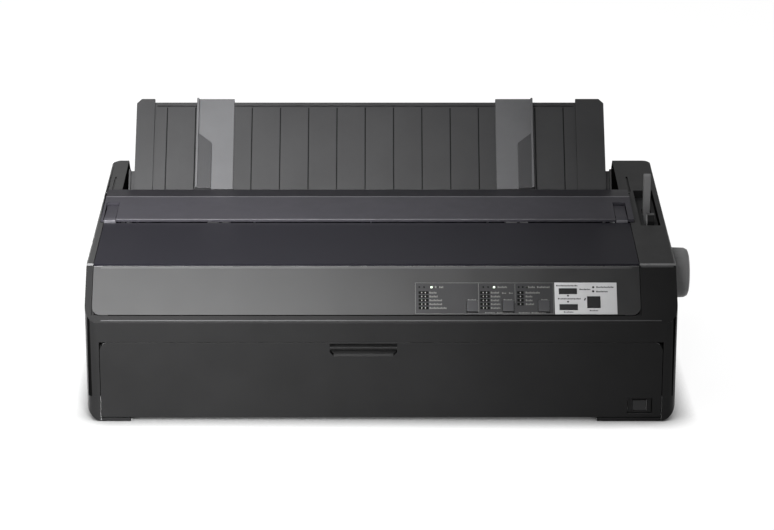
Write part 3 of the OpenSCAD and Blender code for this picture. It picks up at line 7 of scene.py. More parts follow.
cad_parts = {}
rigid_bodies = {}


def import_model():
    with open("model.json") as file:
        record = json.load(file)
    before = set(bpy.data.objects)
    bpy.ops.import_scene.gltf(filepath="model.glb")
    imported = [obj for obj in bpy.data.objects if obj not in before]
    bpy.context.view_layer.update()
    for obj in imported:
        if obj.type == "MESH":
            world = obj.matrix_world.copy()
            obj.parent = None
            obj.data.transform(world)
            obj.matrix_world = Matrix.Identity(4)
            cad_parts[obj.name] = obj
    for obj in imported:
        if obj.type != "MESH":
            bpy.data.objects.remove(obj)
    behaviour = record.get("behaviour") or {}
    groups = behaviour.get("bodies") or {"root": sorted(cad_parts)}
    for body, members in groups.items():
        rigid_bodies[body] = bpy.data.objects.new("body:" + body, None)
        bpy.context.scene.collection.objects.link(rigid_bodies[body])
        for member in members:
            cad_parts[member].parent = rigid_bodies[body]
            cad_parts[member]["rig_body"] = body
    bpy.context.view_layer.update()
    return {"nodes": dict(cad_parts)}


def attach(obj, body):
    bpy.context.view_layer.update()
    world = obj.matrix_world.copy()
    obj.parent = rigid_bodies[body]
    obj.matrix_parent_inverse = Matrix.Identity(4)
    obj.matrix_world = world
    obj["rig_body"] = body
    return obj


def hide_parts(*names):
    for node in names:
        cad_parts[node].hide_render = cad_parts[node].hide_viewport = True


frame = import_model()


# ---- The photograph's camera ----
# A long lens almost three metres in front of the printer and about a metre up,
# looking down on it by seventeen degrees.
camera_data = bpy.data.cameras.new("front_camera")
camera_data.sensor_width = 36.0
camera_data.lens = 131.47
camera_data.shift_x = 0.0075
camera_data.clip_end = 60.0
front_camera = bpy.data.objects.new("front_camera", camera_data)
front_camera.location = (-0.0145, -2.90715, 1.00474)
front_camera.rotation_euler = (math.radians(90.0 - 17.2), 0.0, 0.0)
bpy.context.scene.collection.objects.link(front_camera)
bpy.context.scene.camera = front_camera
bpy.context.scene.view_settings.view_transform = "Standard"


# ---- Floor and studio light ----
# A white table that keeps the printer's soft shadow from the lamps, with its glow darkened near the
# printer as a painted contact shadow, a pale room round it, and three soft boxes: above the left,
# low in front for the sloped panel, and behind.
FLOOR_GLOW = 0.95
FLOOR_PAINT = 0.15
SHADOW_REACH = 0.028
SHADOW_DEPTH = 2.0
HORIZON, ZENITH = 0.06, 0.36
bpy.ops.object.select_all(action="DESELECT")
bpy.ops.mesh.primitive_plane_add(size=24.0, location=(0.0, 0.0, 0.0))
floor = bpy.context.object
floor.name = "white_floor"
floor_paint = bpy.data.materials.new("white_floor_paint")
floor_paint.use_nodes = True
nodes, links = floor_paint.node_tree.nodes, floor_paint.node_tree.links
nodes.clear()
seen = nodes.new("ShaderNodeLightPath")
seen_or_mirrored = nodes.new("ShaderNodeMath")
seen_or_mirrored.operation = "MAXIMUM"
links.new(seen.outputs["Is Camera Ray"], seen_or_mirrored.inputs[0])
links.new(seen.outputs["Is Glossy Ray"], seen_or_mirrored.inputs[1])
through = nodes.new("ShaderNodeMath")
through.operation = "MAXIMUM"
links.new(seen_or_mirrored.outputs[0], through.inputs[0])
links.new(seen.outputs["Is Transmission Ray"], through.inputs[1])
lift = nodes.new("ShaderNodeMath")
lift.operation = "MULTIPLY"
lift.inputs[1].default_value = FLOOR_GLOW
links.new(through.outputs[0], lift.inputs[0])
paint = nodes.new("ShaderNodeBsdfDiffuse")
paint.inputs["Color"].default_value = (FLOOR_PAINT, FLOOR_PAINT, FLOOR_PAINT, 1.0)
glow = nodes.new("ShaderNodeEmission")
glow.inputs["Color"].default_value = (1.0, 1.0, 1.0, 1.0)
# The table's glow fades near the printer by ambient occlusion: a painted contact shadow.
nearness = nodes.new("ShaderNodeAmbientOcclusion")
nearness.samples = 8
nearness.inputs["Distance"].default_value = SHADOW_REACH
contact = nodes.new("ShaderNodeMath")
contact.operation = "POWER"
contact.inputs[1].default_value = SHADOW_DEPTH
links.new(nearness.outputs["AO"], contact.inputs[0])
shaded = nodes.new("ShaderNodeMath")
shaded.operation = "MULTIPLY"
links.new(lift.outputs[0], shaded.inputs[0])
links.new(contact.outputs[0], shaded.inputs[1])
links.new(shaded.outputs[0], glow.inputs["Strength"])
both = nodes.new("ShaderNodeAddShader")
links.new(paint.outputs[0], both.inputs[0])
links.new(glow.outputs[0], both.inputs[1])
surface = nodes.new("ShaderNodeOutputMaterial")
links.new(both.outputs[0], surface.inputs["Surface"])
floor.data.materials.append(floor_paint)

room = bpy.data.worlds.new("pale_room")
room.use_nodes = True
bpy.context.scene.world = room
nodes, links = room.node_tree.nodes, room.node_tree.links
nodes.clear()
direction = nodes.new("ShaderNodeTexCoord")
height = nodes.new("ShaderNodeSeparateXYZ")
links.new(direction.outputs["Generated"], height.inputs["Vector"])
level = nodes.new("ShaderNodeMapRange")
level.interpolation_type = "SMOOTHSTEP"
level.inputs["From Min"].default_value = HORIZON
level.inputs["From Max"].default_value = ZENITH
level.inputs["To Min"].default_value = 1.0
level.inputs["To Max"].default_value = 0.14
links.new(height.outputs["Z"], level.inputs["Value"])
walls = nodes.new("ShaderNodeBackground")
walls.inputs["Color"].default_value = (1.0, 1.0, 1.0, 1.0)
links.new(level.outputs["Result"], walls.inputs["Strength"])
surface = nodes.new("ShaderNodeOutputWorld")
links.new(walls.outputs[0], surface.inputs["Surface"])


def soft_box(name, place, aim, width, height, watts, spread=180.0):
    """A rectangular soft lamp that points at a spot."""
    lamp = bpy.data.lights.new(name, "AREA")
    lamp.shape = "RECTANGLE"
    lamp.size, lamp.size_y, lamp.energy = width, height, watts
    lamp.spread = math.radians(spread)
    holder = bpy.data.objects.new(name, lamp)
    holder.location = place
    holder.rotation_euler = (Vector(aim) - Vector(place)).to_track_quat("-Z", "Y").to_euler()
    bpy.context.scene.collection.objects.link(holder)
    return holder


soft_box("overhead_left_box", (-0.50, -0.78, 1.28), (-0.36, -0.17, 0.12), 0.80, 0.50, 3.0, 110.0)
soft_box("front_left_box", (-0.10, -1.25, 0.75), (-0.36, -0.20, 0.08), 0.40, 0.40, 6.2, 56.0)
soft_box("back_box", (-0.4, 1.1, 1.7), (-0.15, 0.05, 0.15), 1.2, 0.6, 12.0)


# ---- Lower and upper case ----
# Two big injection-moulded shells of fine-textured black plastic. The upper one is lowered
# over the lower one along a joint that runs round the sides and back, and screwed from below.
def blank_material(name):
    """A new material with its shader and a source of the object's own coordinates."""
    made = bpy.data.materials.new(name)
    made.use_nodes = True
    nodes, links = made.node_tree.nodes, made.node_tree.links
    return made, nodes, links, nodes["Principled BSDF"], nodes.new("ShaderNodeTexCoord").outputs["Object"]


def noise(nodes, links, place, scale, detail, roughness=0.5):
    """A cloud of noise over the given coordinates."""
    cloud = nodes.new("ShaderNodeTexNoise")
    cloud.inputs["Scale"].default_value = scale
    cloud.inputs["Detail"].default_value = detail
    cloud.inputs["Roughness"].default_value = roughness
    links.new(place, cloud.inputs["Vector"])
    return cloud.outputs["Fac"]


def two_tones(nodes, links, body, factor, dark, light, low=0.0, high=1.0):
    """A base colour that runs from a dark tone to a light one."""
    tone = nodes.new("ShaderNodeValToRGB")
    first, last = tone.color_ramp.elements
    first.position, last.position = low, high
    first.color, last.color = (*dark, 1.0), (*light, 1.0)
    links.new(factor, tone.inputs["Fac"])
    links.new(tone.outputs["Color"], body.inputs["Base Color"])


def uneven_gloss(nodes, links, body, factor, middle, spread):
    """A roughness that wanders to both sides of a middle value."""
    dull = nodes.new("ShaderNodeMapRange")
    dull.inputs["From Min"].default_value = 0.3
    dull.inputs["From Max"].default_value = 0.7
    dull.inputs["To Min"].default_value = middle - spread
    dull.inputs["To Max"].default_value = middle + spread
    links.new(factor, dull.inputs["Value"])
    links.new(dull.outputs["Result"], body.inputs["Roughness"])


def fine_relief(nodes, links, body, factor, strength, distance):
    """A grain too fine to be modelled."""
    relief = nodes.new("ShaderNodeBump")
    relief.inputs["Strength"].default_value = strength
    relief.inputs["Distance"].default_value = distance
    links.new(factor, relief.inputs["Height"])
    links.new(relief.outputs["Normal"], body.inputs["Normal"])


def plastic(name, colour, roughness, specular=0.5, grain=0.0005, depth=0.25,
        patchy=0.10, sheen=0.0, gloss=0.05):
    """Moulded plastic: a spark-eroded grain, slight patches of gloss and fine dust in the colour."""
    made, nodes, links, body, place = blank_material(name)
    body.inputs["Specular IOR Level"].default_value = specular
    body.inputs["Sheen Weight"].default_value = sheen
    body.inputs["Sheen Roughness"].default_value = 0.35
    dust = noise(nodes, links, place, 14.0, 6.0, roughness=0.62)
    dark, light = ([c * share for c in colour] for share in (1.0 - patchy, 1.0 + patchy))
    two_tones(nodes, links, body, dust, dark, light, low=0.32, high=0.70)
    uneven_gloss(nodes, links, body, noise(nodes, links, place, 38.0, 4.0), roughness, gloss)
    fine_relief(nodes, links, body, noise(nodes, links, place, 1.0 / grain, 3.0), depth, grain * 0.15)
    return made


def finish_node(node, material):
    """Gives a CAD node its material, and returns the node."""
    part = frame["nodes"][node]
    for holder in part.material_slots:
        holder.material = material
    return part


def soften_edges(piece, chosen, width, steps=4):
    """Rounds the edges whose two ends pass the test, given in millimetres."""
    bpy.ops.object.select_all(action="DESELECT")
    piece.select_set(True)
    bpy.context.view_layer.objects.active = piece
    bpy.ops.object.mode_set(mode="EDIT")
    bpy.ops.mesh.select_mode(type="EDGE")
    bpy.ops.mesh.select_all(action="DESELECT")
    bpy.ops.object.mode_set(mode="OBJECT")
    points = [[1000.0 * c for c in vertex.co] for vertex in piece.data.vertices]
    for edge in piece.data.edges:
        edge.select = bool(chosen(points[edge.vertices[0]], points[edge.vertices[1]]))
    bpy.ops.object.mode_set(mode="EDIT")
    bpy.ops.mesh.bevel(offset=width, segments=steps, affect="EDGES", clamp_overlap=False)
    bpy.ops.object.mode_set(mode="OBJECT")


def moulded_copy(node, material, ease=0.0006, steps=2, sharp=38.0, rounded=()):
    """A copy of a CAD node with its edges eased as a mould eases them, which stands for the node."""
    source = frame["nodes"][node]
    piece = bpy.data.objects.new(node + "_moulding", source.data.copy())
    bpy.context.scene.collection.objects.link(piece)
    bpy.ops.object.select_all(action="DESELECT")
    piece.select_set(True)
    bpy.context.view_layer.objects.active = piece
    bpy.ops.object.mode_set(mode="EDIT")
    bpy.ops.mesh.select_all(action="SELECT")
    bpy.ops.mesh.remove_doubles(threshold=0.000004)
    bpy.ops.mesh.dissolve_limited(angle_limit=math.radians(0.6))
    bpy.ops.object.mode_set(mode="OBJECT")
    for chosen, width in rounded:
        soften_edges(piece, chosen, width)
    eased = piece.modifiers.new("eased_edges", "BEVEL")
    eased.width = ease
    eased.segments = steps
    eased.limit_method = "ANGLE"
    eased.angle_limit = math.radians(sharp)
    eased.use_clamp_overlap = True
    bpy.ops.object.modifier_apply(modifier="eased_edges")
    bpy.ops.object.shade_smooth_by_angle(angle=math.radians(50.0))
    flats = piece.modifiers.new("flats_stay_flat", "WEIGHTED_NORMAL")
    flats.mode = "FACE_AREA"
    flats.weight = 100
    flats.keep_sharp = True
    bpy.ops.object.modifier_apply(modifier="flats_stay_flat")
    piece.data.materials.clear()
    piece.data.materials.append(material)
    finish_node(node, material)
    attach(piece, source["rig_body"])
    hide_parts(node)
    return piece


def paint_faces(piece, material, chosen):
    """Gives the faces that pass the test, by middle and normal in millimetres, another material."""
    piece.data.materials.append(material)
    number = len(piece.data.materials) - 1
    for face in piece.data.polygons:
        if chosen([1000.0 * c for c in face.center], face.normal):
            face.material_index = number


FRONT_Y, BROW_Z = -201.0, 105.8
CREASE_Y, CREASE_Z = -158.4, 154.9
LEFT_WALL_X, RIGHT_WALL_X = -314.5, 285.5
DECK_END_Y = 150.0


def near_line(a, b, y, z, reach=0.2):
    """Whether both ends of an edge lie on the line across the printer at y and z."""
    return max(abs(a[1] - y), abs(b[1] - y), abs(a[2] - z), abs(b[2] - z)) < reach


def front_brow(a, b):
    """The long edge where the front turns into the slope of the control panel."""
    return near_line(a, b, FRONT_Y, BROW_Z) and abs(a[0] - b[0]) > 300.0


def deck_crease(a, b):
    """The short edges where the decks beside the lid turn down into the slope."""
    return near_line(a, b, CREASE_Y, CREASE_Z, reach=0.4)


def along_outer_wall(a, b):
    """Long edges in the plane of an outer side wall."""
    outside = min(abs(a[0] - LEFT_WALL_X), abs(a[0] - RIGHT_WALL_X)) < 0.1 and abs(a[0] - b[0]) < 0.1
    return outside and abs(a[1] - b[1]) > 30.0


def outer_deck_edge(a, b):
    """The edges along the outer sides of the decks, from the crease to the rear slope."""
    return along_outer_wall(a, b) and min(a[2], b[2]) > 140.0 and max(a[1], b[1]) < DECK_END_Y


def rear_corner(a, b):
    """The outer corners of the decks at the back, where the rear slope starts."""
    return along_outer_wall(a, b) and min(a[2], b[2]) > 139.0 and max(a[1], b[1]) > 180.0


def shade_sides(piece):
    """Gives the sideways faces within the outer walls a dull near-black: painted shade in seams and recesses.
    """
    paint_faces(piece, seam_shade, lambda middle, normal:
        abs(normal.x) > 0.6 and LEFT_WALL_X + 2.5 < middle[0] < RIGHT_WALL_X - 2.5)


case_plastic = plastic("case_plastic", (0.012, 0.012, 0.0122), 0.48, specular=0.08, sheen=0.24)
moulded_copy("lower_case", case_plastic, ease=0.0008)
# A dull near-black without reflection, painted as shade on sideways faces and at the fascia's foot.
seam_shade = plastic("seam_shade", (0.004, 0.004, 0.004), 0.8, specular=0.0, depth=0.1)
upper = moulded_copy("upper_case", case_plastic, ease=0.0008, rounded=[
    (front_brow, 0.0022), (deck_crease, 0.0016), (rear_corner, 0.0080), (outer_deck_edge, 0.0030)])
shade_sides(upper)
# Lighter, glossier paint on the rounded brow and the deck creases: painted highlights.
painted_highlight_edge = plastic("painted_highlight_edge", (0.15, 0.15, 0.152), 0.28, specular=0.6, grain=0.0004, depth=0.05)
paint_faces(upper, painted_highlight_edge, lambda middle, normal: abs(normal.x) < 0.3 and 0.30 < normal.z < 0.64
    and normal.y < -0.7 and abs(middle[1] + 200.0) < 2.4 and abs(middle[2] - 106.0) < 2.4)
paint_faces(upper, painted_highlight_edge, lambda middle, normal: abs(normal.x) < 0.3 and 0.70 < normal.z < 0.99
    and normal.y < 0.0 and abs(middle[1] - CREASE_Y) < 1.9 and abs(middle[2] - 154.6) < 1.9)


# ---- Feet and case screws ----
# Four soft rubber pads glued under the corners, and four zinc-plated screws that come up
# through the lower case into the bosses of the upper one.
def metal(name, colour, roughness, grain=(900.0, 900.0, 900.0), depth=0.12, patchy=0.12):
    """Worked metal: long or round grain, with patches of duller and brighter surface."""
    made, nodes, links, body, place = blank_material(name)
    body.inputs["Metallic"].default_value = 1.0
    stretch = nodes.new("ShaderNodeMapping")
    stretch.inputs["Scale"].default_value = grain
    links.new(place, stretch.inputs["Vector"])
    drawn = noise(nodes, links, stretch.outputs["Vector"], 1.0, 4.0)
    dark, light = ([min(1.0, c * share) for c in colour] for share in (1.0 - patchy, 1.0 + patchy))
    two_tones(nodes, links, body, noise(nodes, links, place, 60.0, 5.0), dark, light, low=0.35, high=0.68)
    uneven_gloss(nodes, links, body, drawn, roughness, 0.07)
    fine_relief(nodes, links, body, drawn, depth, 0.00003)
    return made


pad_rubber = plastic("pad_rubber", (0.012, 0.012, 0.012), 0.82, specular=0.3,
    grain=0.0003, depth=0.4, patchy=0.25)
zinc = metal("zinc_plating", (0.52, 0.52, 0.50), 0.34)
feet = moulded_copy("feet_and_screws", zinc, ease=0.0002)
paint_faces(feet, pad_rubber, lambda middle, normal: middle[2] < 0.9)


# ---- Base plate and side frames ----
# The mechanism's chassis: a base plate and two upright frames of galvanised steel sheet.
# The shafts and rails of the mechanism are carried by them.
galvanised = metal("galvanised_sheet", (0.50, 0.51, 0.52), 0.38,
    grain=(260.0, 260.0, 260.0), depth=0.08, patchy=0.22)
for node in ("base_plate", "frame_left", "frame_right"):
    finish_node(node, galvanised)


# ---- Guide rod and guide rail ----
# The rails of the carriage: a ground and hardened round rod, lightly oiled, and a rail of
# steel sheet.
ground_steel = metal("ground_steel", (0.62, 0.62, 0.63), 0.16,
    grain=(2600.0, 40.0, 40.0), depth=0.10, patchy=0.05)
finish_node("guide_rod", ground_steel)
finish_node("guide_rail", galvanised)


# ---- Platen with its shaft, bushes and knob ----
# A rubber-covered roller on a steel shaft that turns in nylon bushes in the side frames, and
# the moulded knob pressed on its right-hand end, fluted for the fingers.
platen_rubber = plastic("platen_rubber", (0.020, 0.020, 0.021), 0.70, specular=0.35,
    grain=0.0002, depth=0.35, patchy=0.15)
nylon = plastic("white_nylon", (0.62, 0.60, 0.54), 0.42, specular=0.5, grain=0.0004, depth=0.15, patchy=0.05)
knob_plastic = plastic("knob_plastic", (0.26, 0.26, 0.262), 0.5, specular=0.4, grain=0.0004, depth=0.2)
finish_node("platen", platen_rubber)
finish_node("platen_shaft", ground_steel)
finish_node("platen_bushes", nylon)
moulded_copy("platen_knob", knob_plastic, ease=0.0012, steps=3)


# ---- Paper feed motor and gears ----
# A stepping motor on the right frame drives the platen and the tractors through a train of
# moulded spur gears that run on pins in the frame.
motor_can = metal("motor_can", (0.28, 0.28, 0.30), 0.42, grain=(300.0, 300.0, 300.0), depth=0.06)
gear_plastic = plastic("gear_plastic", (0.50, 0.48, 0.42), 0.38, specular=0.5,
    grain=0.0004, depth=0.1, patchy=0.06)
finish_node("feed_motor", motor_can)
for node in ("feed_pinion", "reduction_gear", "idler_front", "idler_rear", "platen_gear"):
    finish_node(node, gear_plastic)


# ---- Carriage, print head and carriage drive ----
# A black moulded carriage slides on the rod and carries the finned die-cast print head. A
# rubber belt between a driven and an idle pulley pulls it from a second motor.
mechanism_plastic = plastic("mechanism_plastic", (0.018, 0.018, 0.019), 0.45, grain=0.0004)
die_cast = metal("die_cast_alloy", (0.33, 0.33, 0.34), 0.52,
    grain=(1500.0, 1500.0, 1500.0), depth=0.35, patchy=0.10)
belt_rubber = plastic("belt_rubber", (0.016, 0.016, 0.016), 0.65, specular=0.3, grain=0.0002, depth=0.3)
finish_node("carriage", mechanism_plastic)
finish_node("print_head", die_cast)
finish_node("carriage_motor", motor_can)
finish_node("drive_pulley", ground_steel)
finish_node("idler_pulley", nylon)
finish_node("carriage_belt", belt_rubber)


# ---- Ribbon cartridge ----
# A long snap-in cartridge of black plastic in front of the platen, the inked cloth band
# between its two arms, and the knob that takes up the slack.
def inked_cloth(name):
    """A plain weave of fine threads, soaked with ink."""
    made, nodes, links, body, place = blank_material(name)
    body.inputs["Roughness"].default_value = 0.78
    body.inputs["Specular IOR Level"].default_value = 0.25
    weave = nodes.new("ShaderNodeMath")
    weave.operation = "MULTIPLY"
    for number, direction in enumerate("XZ"):
        threads = nodes.new("ShaderNodeTexWave")
        threads.bands_direction = direction
        threads.inputs["Scale"].default_value = 900.0
        links.new(place, threads.inputs["Vector"])
        links.new(threads.outputs["Fac"], weave.inputs[number])
    two_tones(nodes, links, body, weave.outputs[0], (0.004, 0.004, 0.006), (0.022, 0.022, 0.030))
    fine_relief(nodes, links, body, weave.outputs[0], 0.4, 0.00005)
    return made


cartridge_plastic = plastic("cartridge_plastic", (0.022, 0.022, 0.024), 0.36, specular=0.5,
    grain=0.0005, depth=0.15)
accent_plastic = plastic("accent_plastic", (0.10, 0.16, 0.34), 0.40, specular=0.5, grain=0.0004, depth=0.1)
moulded_copy("ribbon_case", cartridge_plastic, ease=0.0008)
finish_node("ribbon_band", inked_cloth("ribbon_cloth"))
moulded_copy("ribbon_knob", accent_plastic, ease=0.0004)


# ---- Push tractors ----
# Two moulded tractors behind the platen, each with a row of paper pins and a hinged lid, on
# a square drive shaft and a round support shaft between the side frames.
lid_plastic = plastic("lid_plastic", (0.045, 0.045, 0.048), 0.42, grain=0.0004, depth=0.15)
for side in ("left", "right"):
    moulded_copy(f"tractor_{side}", mechanism_plastic, ease=0.0005)
    moulded_copy(f"tractor_lid_{side}", lid_plastic, ease=0.0004)
finish_node("tractor_shaft", ground_steel)
finish_node("tractor_drive", ground_steel)


# ---- Main board, power supply and sockets ----
# The control board and the supply in its vented steel cover stand on the base plate, and
# the sockets show in the back wall: the mains inlet and three data sockets.
def board_laminate(name):
    """Green solder mask over copper tracks, a shade lighter where a track runs below."""
    made, nodes, links, body, place = blank_material(name)
    body.inputs["Roughness"].default_value = 0.32
    grid = nodes.new("ShaderNodeTexBrick")
    grid.inputs["Scale"].default_value = 90.0
    grid.inputs["Mortar Size"].default_value = 0.035
    grid.inputs["Color1"].default_value = (0.008, 0.085, 0.030, 1.0)
    grid.inputs["Color2"].default_value = (0.010, 0.100, 0.036, 1.0)
    grid.inputs["Mortar"].default_value = (0.020, 0.180, 0.060, 1.0)
    links.new(place, grid.inputs["Vector"])
    links.new(grid.outputs["Color"], body.inputs["Base Color"])
    fine_relief(nodes, links, body, grid.outputs["Fac"], 0.3, 0.00003)
    return made


laminate = board_laminate("board_laminate")
chip_plastic = plastic("chip_plastic", (0.012, 0.012, 0.013), 0.5, specular=0.4, grain=0.0002, depth=0.3)
board = moulded_copy("main_board", laminate, ease=0.00015)
board_foot = min(vertex.co.z for vertex in board.data.vertices) * 1000.0
paint_faces(board, chip_plastic, lambda middle, normal: middle[2] > board_foot + 9.0)
finish_node("key_board", laminate)
finish_node("power_supply", galvanised)
moulded_copy("sockets", mechanism_plastic, ease=0.0003)


# ---- Fascia ----
# The sloped front strip between the paper door and the smoked cover. It is a moulding of its
# own, dropped onto the upper case behind the rim along the front.
fascia_plastic = plastic("fascia_plastic", (0.011, 0.011, 0.0113), 0.38, specular=0.5)
fascia = moulded_copy("fascia", fascia_plastic, ease=0.0008, rounded=[
    (lambda a, b: min(a[2], b[2]) > 153.5 and abs(a[0] - b[0]) > 300.0, 0.0014)])
# The fascia's rounded top gets the same lighter paint: a painted highlight.
paint_faces(fascia, painted_highlight_edge, lambda middle, normal:
    middle[2] > 152.3 and abs(normal.x) < 0.3 and normal.z > 0.80)
shade_sides(fascia)


# ---- Indicator plate and key plate ----
# Two label films stuck into the fascia: a black one with indicator windows and printed
# rows, and a light grey one round the paper-feed keys.
film_black = plastic("film_black", (0.016, 0.016, 0.017), 0.38, specular=0.35, grain=0.0003, depth=0.1)
film_grey = plastic("film_grey", (0.42, 0.42, 0.425), 0.42, specular=0.35, grain=0.0003, depth=0.1)
moulded_copy("indicator_plate", film_black, ease=0.00015)
moulded_copy("key_plate", film_grey, ease=0.00015)

slope_angle = math.atan2(49.1, 42.6)
slope_place = Matrix.Translation((-0.0145, -0.201, 0.1058)) @ Matrix.Rotation(slope_angle, 4, "X")


def print_marks(name, ink, marks, lift=0.00008, thick=0.00006):
    """Printed marks, each as (middle x, middle up the slope, width, height, turn), in millimetres."""
    bpy.ops.object.select_all(action="DESELECT")
    bpy.ops.mesh.primitive_plane_add(size=1.0, location=(0.0, 0.0, 0.0))
    printed = bpy.context.object
    printed.name = name
    bpy.ops.object.mode_set(mode="EDIT")
    bpy.ops.mesh.delete(type="VERT")
    for x, s, width, height, turn in marks:
        middle = (x / 1000.0, s / 1000.0, lift)
        bpy.ops.mesh.select_all(action="DESELECT")
        bpy.ops.mesh.primitive_plane_add(size=1.0, location=middle)
        bpy.ops.transform.resize(value=(width / 1000.0, height / 1000.0, 1.0), center_override=middle)
        if turn:
            bpy.ops.transform.rotate(value=math.radians(turn), orient_axis="Z", center_override=middle)
    bpy.ops.mesh.select_all(action="SELECT")
    bpy.ops.mesh.extrude_region_move(TRANSFORM_OT_translate={"value": (0.0, 0.0, thick)})
    bpy.ops.mesh.select_all(action="SELECT")
    bpy.ops.mesh.normals_make_consistent(inside=False)
    bpy.ops.object.mode_set(mode="OBJECT")
    printed.matrix_world = slope_place
    bpy.ops.object.transform_apply(location=True, rotation=True, scale=True)
    printed.data.materials.clear()
    printed.data.materials.append(ink)
    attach(printed, "case")
    return printed


def word(x_from, x_to, s, height=2.1):
    """A word of a caption, drawn as a row of plain blocks with no letters in it."""
    widths, blocks, x, turn = (1.3, 0.8, 1.1, 0.9, 1.4, 0.7, 1.0), [], x_from, 0
    while x < x_to - 0.5:
        width = min(widths[turn % 7], x_to - x)
        tall = height * (1.0, 0.72, 0.72, 1.0, 0.72)[turn % 5]
        blocks.append((x + width / 2.0, s - (height - tall) / 2.0, width, tall, 0))
        x += width + 0.42
        turn += 1
    return blocks


pale_ink = plastic("pale_ink", (0.13, 0.13, 0.125), 0.55, specular=0.3, grain=0.0002, depth=0.1)
dim_ink = plastic("dim_ink", (0.13, 0.13, 0.126), 0.55, specular=0.3, grain=0.0002, depth=0.1)
# Dark print, also used for the painted shade under keys 1 to 3.
dark_ink_and_key_shade = plastic("dark_ink_and_key_shade", (0.004, 0.004, 0.004), 0.5, specular=0.06, grain=0.0002, depth=0.1)
rows = [33.3 - 4.22 * row for row in range(5)]
outline = [(104.5, s, 139.6, 0.35, 0) for s in (44.0, 10.0)] + [(x, 27.0, 0.35, 34.0, 0) for x in (34.7, 174.4)]
dividers = [(98.6, 27.5, 0.4, 32.0, 0), (135.6, 32.5, 0.35, 21.0, 0)]
print_marks("film_outline", dim_ink, outline + dividers)

row_words = [(48.8, (56.6, 57.5, 61.5, 61.5, 66.0)), (111.0, (119.5, 120.5, 120.0, 120.5, 120.5)),
    (146.3, (160.5, 153.0, 153.0, 155.0))]
single_words = [
    (39.4, 2.1, ((54.5, 63.0), (118.0, 127.5), (148.5, 156.0), (158.0, 171.0))),
    (25.4, 1.3, ((87.6, 96.4), (124.0, 133.2), (162.0, 168.4))),
    (11.2, 1.2, ((105.0, 115.0), (117.0, 132.5), (139.0, 150.0), (152.0, 167.0))),
    (32.8, 1.3, ((122.5, 127.0), (129.5, 133.2)))]
captions = []
for first, ends in row_words:
    for s, last in zip(rows, ends):
        captions += word(first, last, s)
for s, tall, spans in single_words:
    for first, last in spans:
        captions += word(first, last, s, tall)
print_marks("film_captions", pale_ink, captions)

full_columns, short_columns = (39.3, 42.9, 46.5, 101.7, 105.1, 108.5), (139.2, 142.8)
wells = [(x, s, 2.9, 3.0, 0) for x in full_columns for s in rows]
wells += [(x, s, 2.9, 3.0, 0) for x in short_columns for s in rows[:4]]
wells += [(x, 39.4, 1.6, 1.6, 45) for x in (38.6, 43.5, 103.5, 108.4, 139.5, 143.6)]
# Dark strips just below keys 1 to 3: painted shade under the keys.
wells += [(x, 11.9, 12.4, 1.4, 0) for x in (92.2, 128.6, 164.7)]
print_marks("film_wells_and_key_shade", dark_ink_and_key_shade, wells)

points = [(x, s, 0.8, 0.8, 0) for x in (41.1, 44.7, 103.4, 106.8) for s in rows]
points += [(141.0, s, 0.8, 0.8, 0) for s in rows[:4]]
point_ink = plastic("point_ink", (0.42, 0.42, 0.40), 0.5, grain=0.0002, depth=0.1)
print_marks("film_points", point_ink, points, lift=0.00015)

plate_words = [
    (177.6, 199.0, 41.0, 1.6), (179.0, 202.0, 26.6, 1.6), (184.5, 194.0, 12.0, 1.3), (210.8, 219.0, 13.6, 1.3),
    (201.0, 212.0, 36.9, 1.6), (218.2, 236.0, 39.4, 1.7), (218.0, 229.6, 34.5, 1.7)]
plate_marks = [
    (189.2, 29.9, 1.7, 1.7, 45), (189.1, 23.3, 1.7, 1.7, 45),
    (214.8, 34.8, 2.1, 2.1, 45), (206.3, 26.0, 1.2, 3.0, 20)]
plate_captions = [block for words in plate_words for block in word(*words)]
print_marks("plate_captions", dark_ink_and_key_shade, plate_captions + plate_marks)


# ---- Lines along the fascia and the brow ----
# Hair-thin beads that stand for the bright line of light on the rounded top of the slope and
# on the brow, and a black one that stands for the shade of the seam at the fascia's foot.
bead_plastic = plastic("bead_plastic", (0.045, 0.045, 0.046), 0.42, specular=0.35, grain=0.0004, depth=0.05)
top_lines = [(-15.0, 60.8, 540.0, 2.0, 0), (281.0, 62.2, 33.0, 1.8, 0)]
print_marks("highlight_beads", bead_plastic, top_lines, thick=0.0001)
print_marks("brow_bead", bead_plastic, [(0.0, 2.6, 566.0, 1.0, 0)], lift=0.00002)
print_marks("fascia_seam_shade", seam_shade, [(-15.0, 8.3, 522.0, 1.2, 0)], lift=0.00002)


# ---- Keys ----
# Six small satin keycaps that stand just proud of the fascia and press against the board
# behind it. The side that faces down the slope is painted near-black: painted shade.
key_plastic = plastic("key_plastic", (0.022, 0.022, 0.024), 0.42, specular=0.4, grain=0.0003, depth=0.15)
dark_key = plastic("dark_key", (0.006, 0.006, 0.0065), 0.42, specular=0.3, grain=0.0003, depth=0.15)
key_side_shade = plastic("key_side_shade", (0.004, 0.004, 0.004), 0.6, specular=0.1, grain=0.0003, depth=0.15)
for number in range(1, 7):
    key = moulded_copy(f"key_{number}", key_plastic if number < 4 else dark_key, ease=0.0007, steps=3)
    paint_faces(key, key_side_shade, lambda middle, normal: normal.y < -0.3 and normal.z < -0.2)


# ---- Indicator lights ----
# Clear light guides that carry the glow of the lamps on the key board to the panel. Two of
# them are lit: the first and the third.
def light_guide(name, colour, glow):
    """Milky clear plastic with a fine haze in it, lit from behind or not."""
    made, nodes, links, body, place = blank_material(name)
    body.inputs["Roughness"].default_value = 0.25
    body.inputs["Emission Color"].default_value = (0.90, 1.0, 0.76, 1.0)
    body.inputs["Emission Strength"].default_value = glow
    two_tones(nodes, links, body, noise(nodes, links, place, 700.0, 2.0), [c * 0.85 for c in colour], colour)
    return made


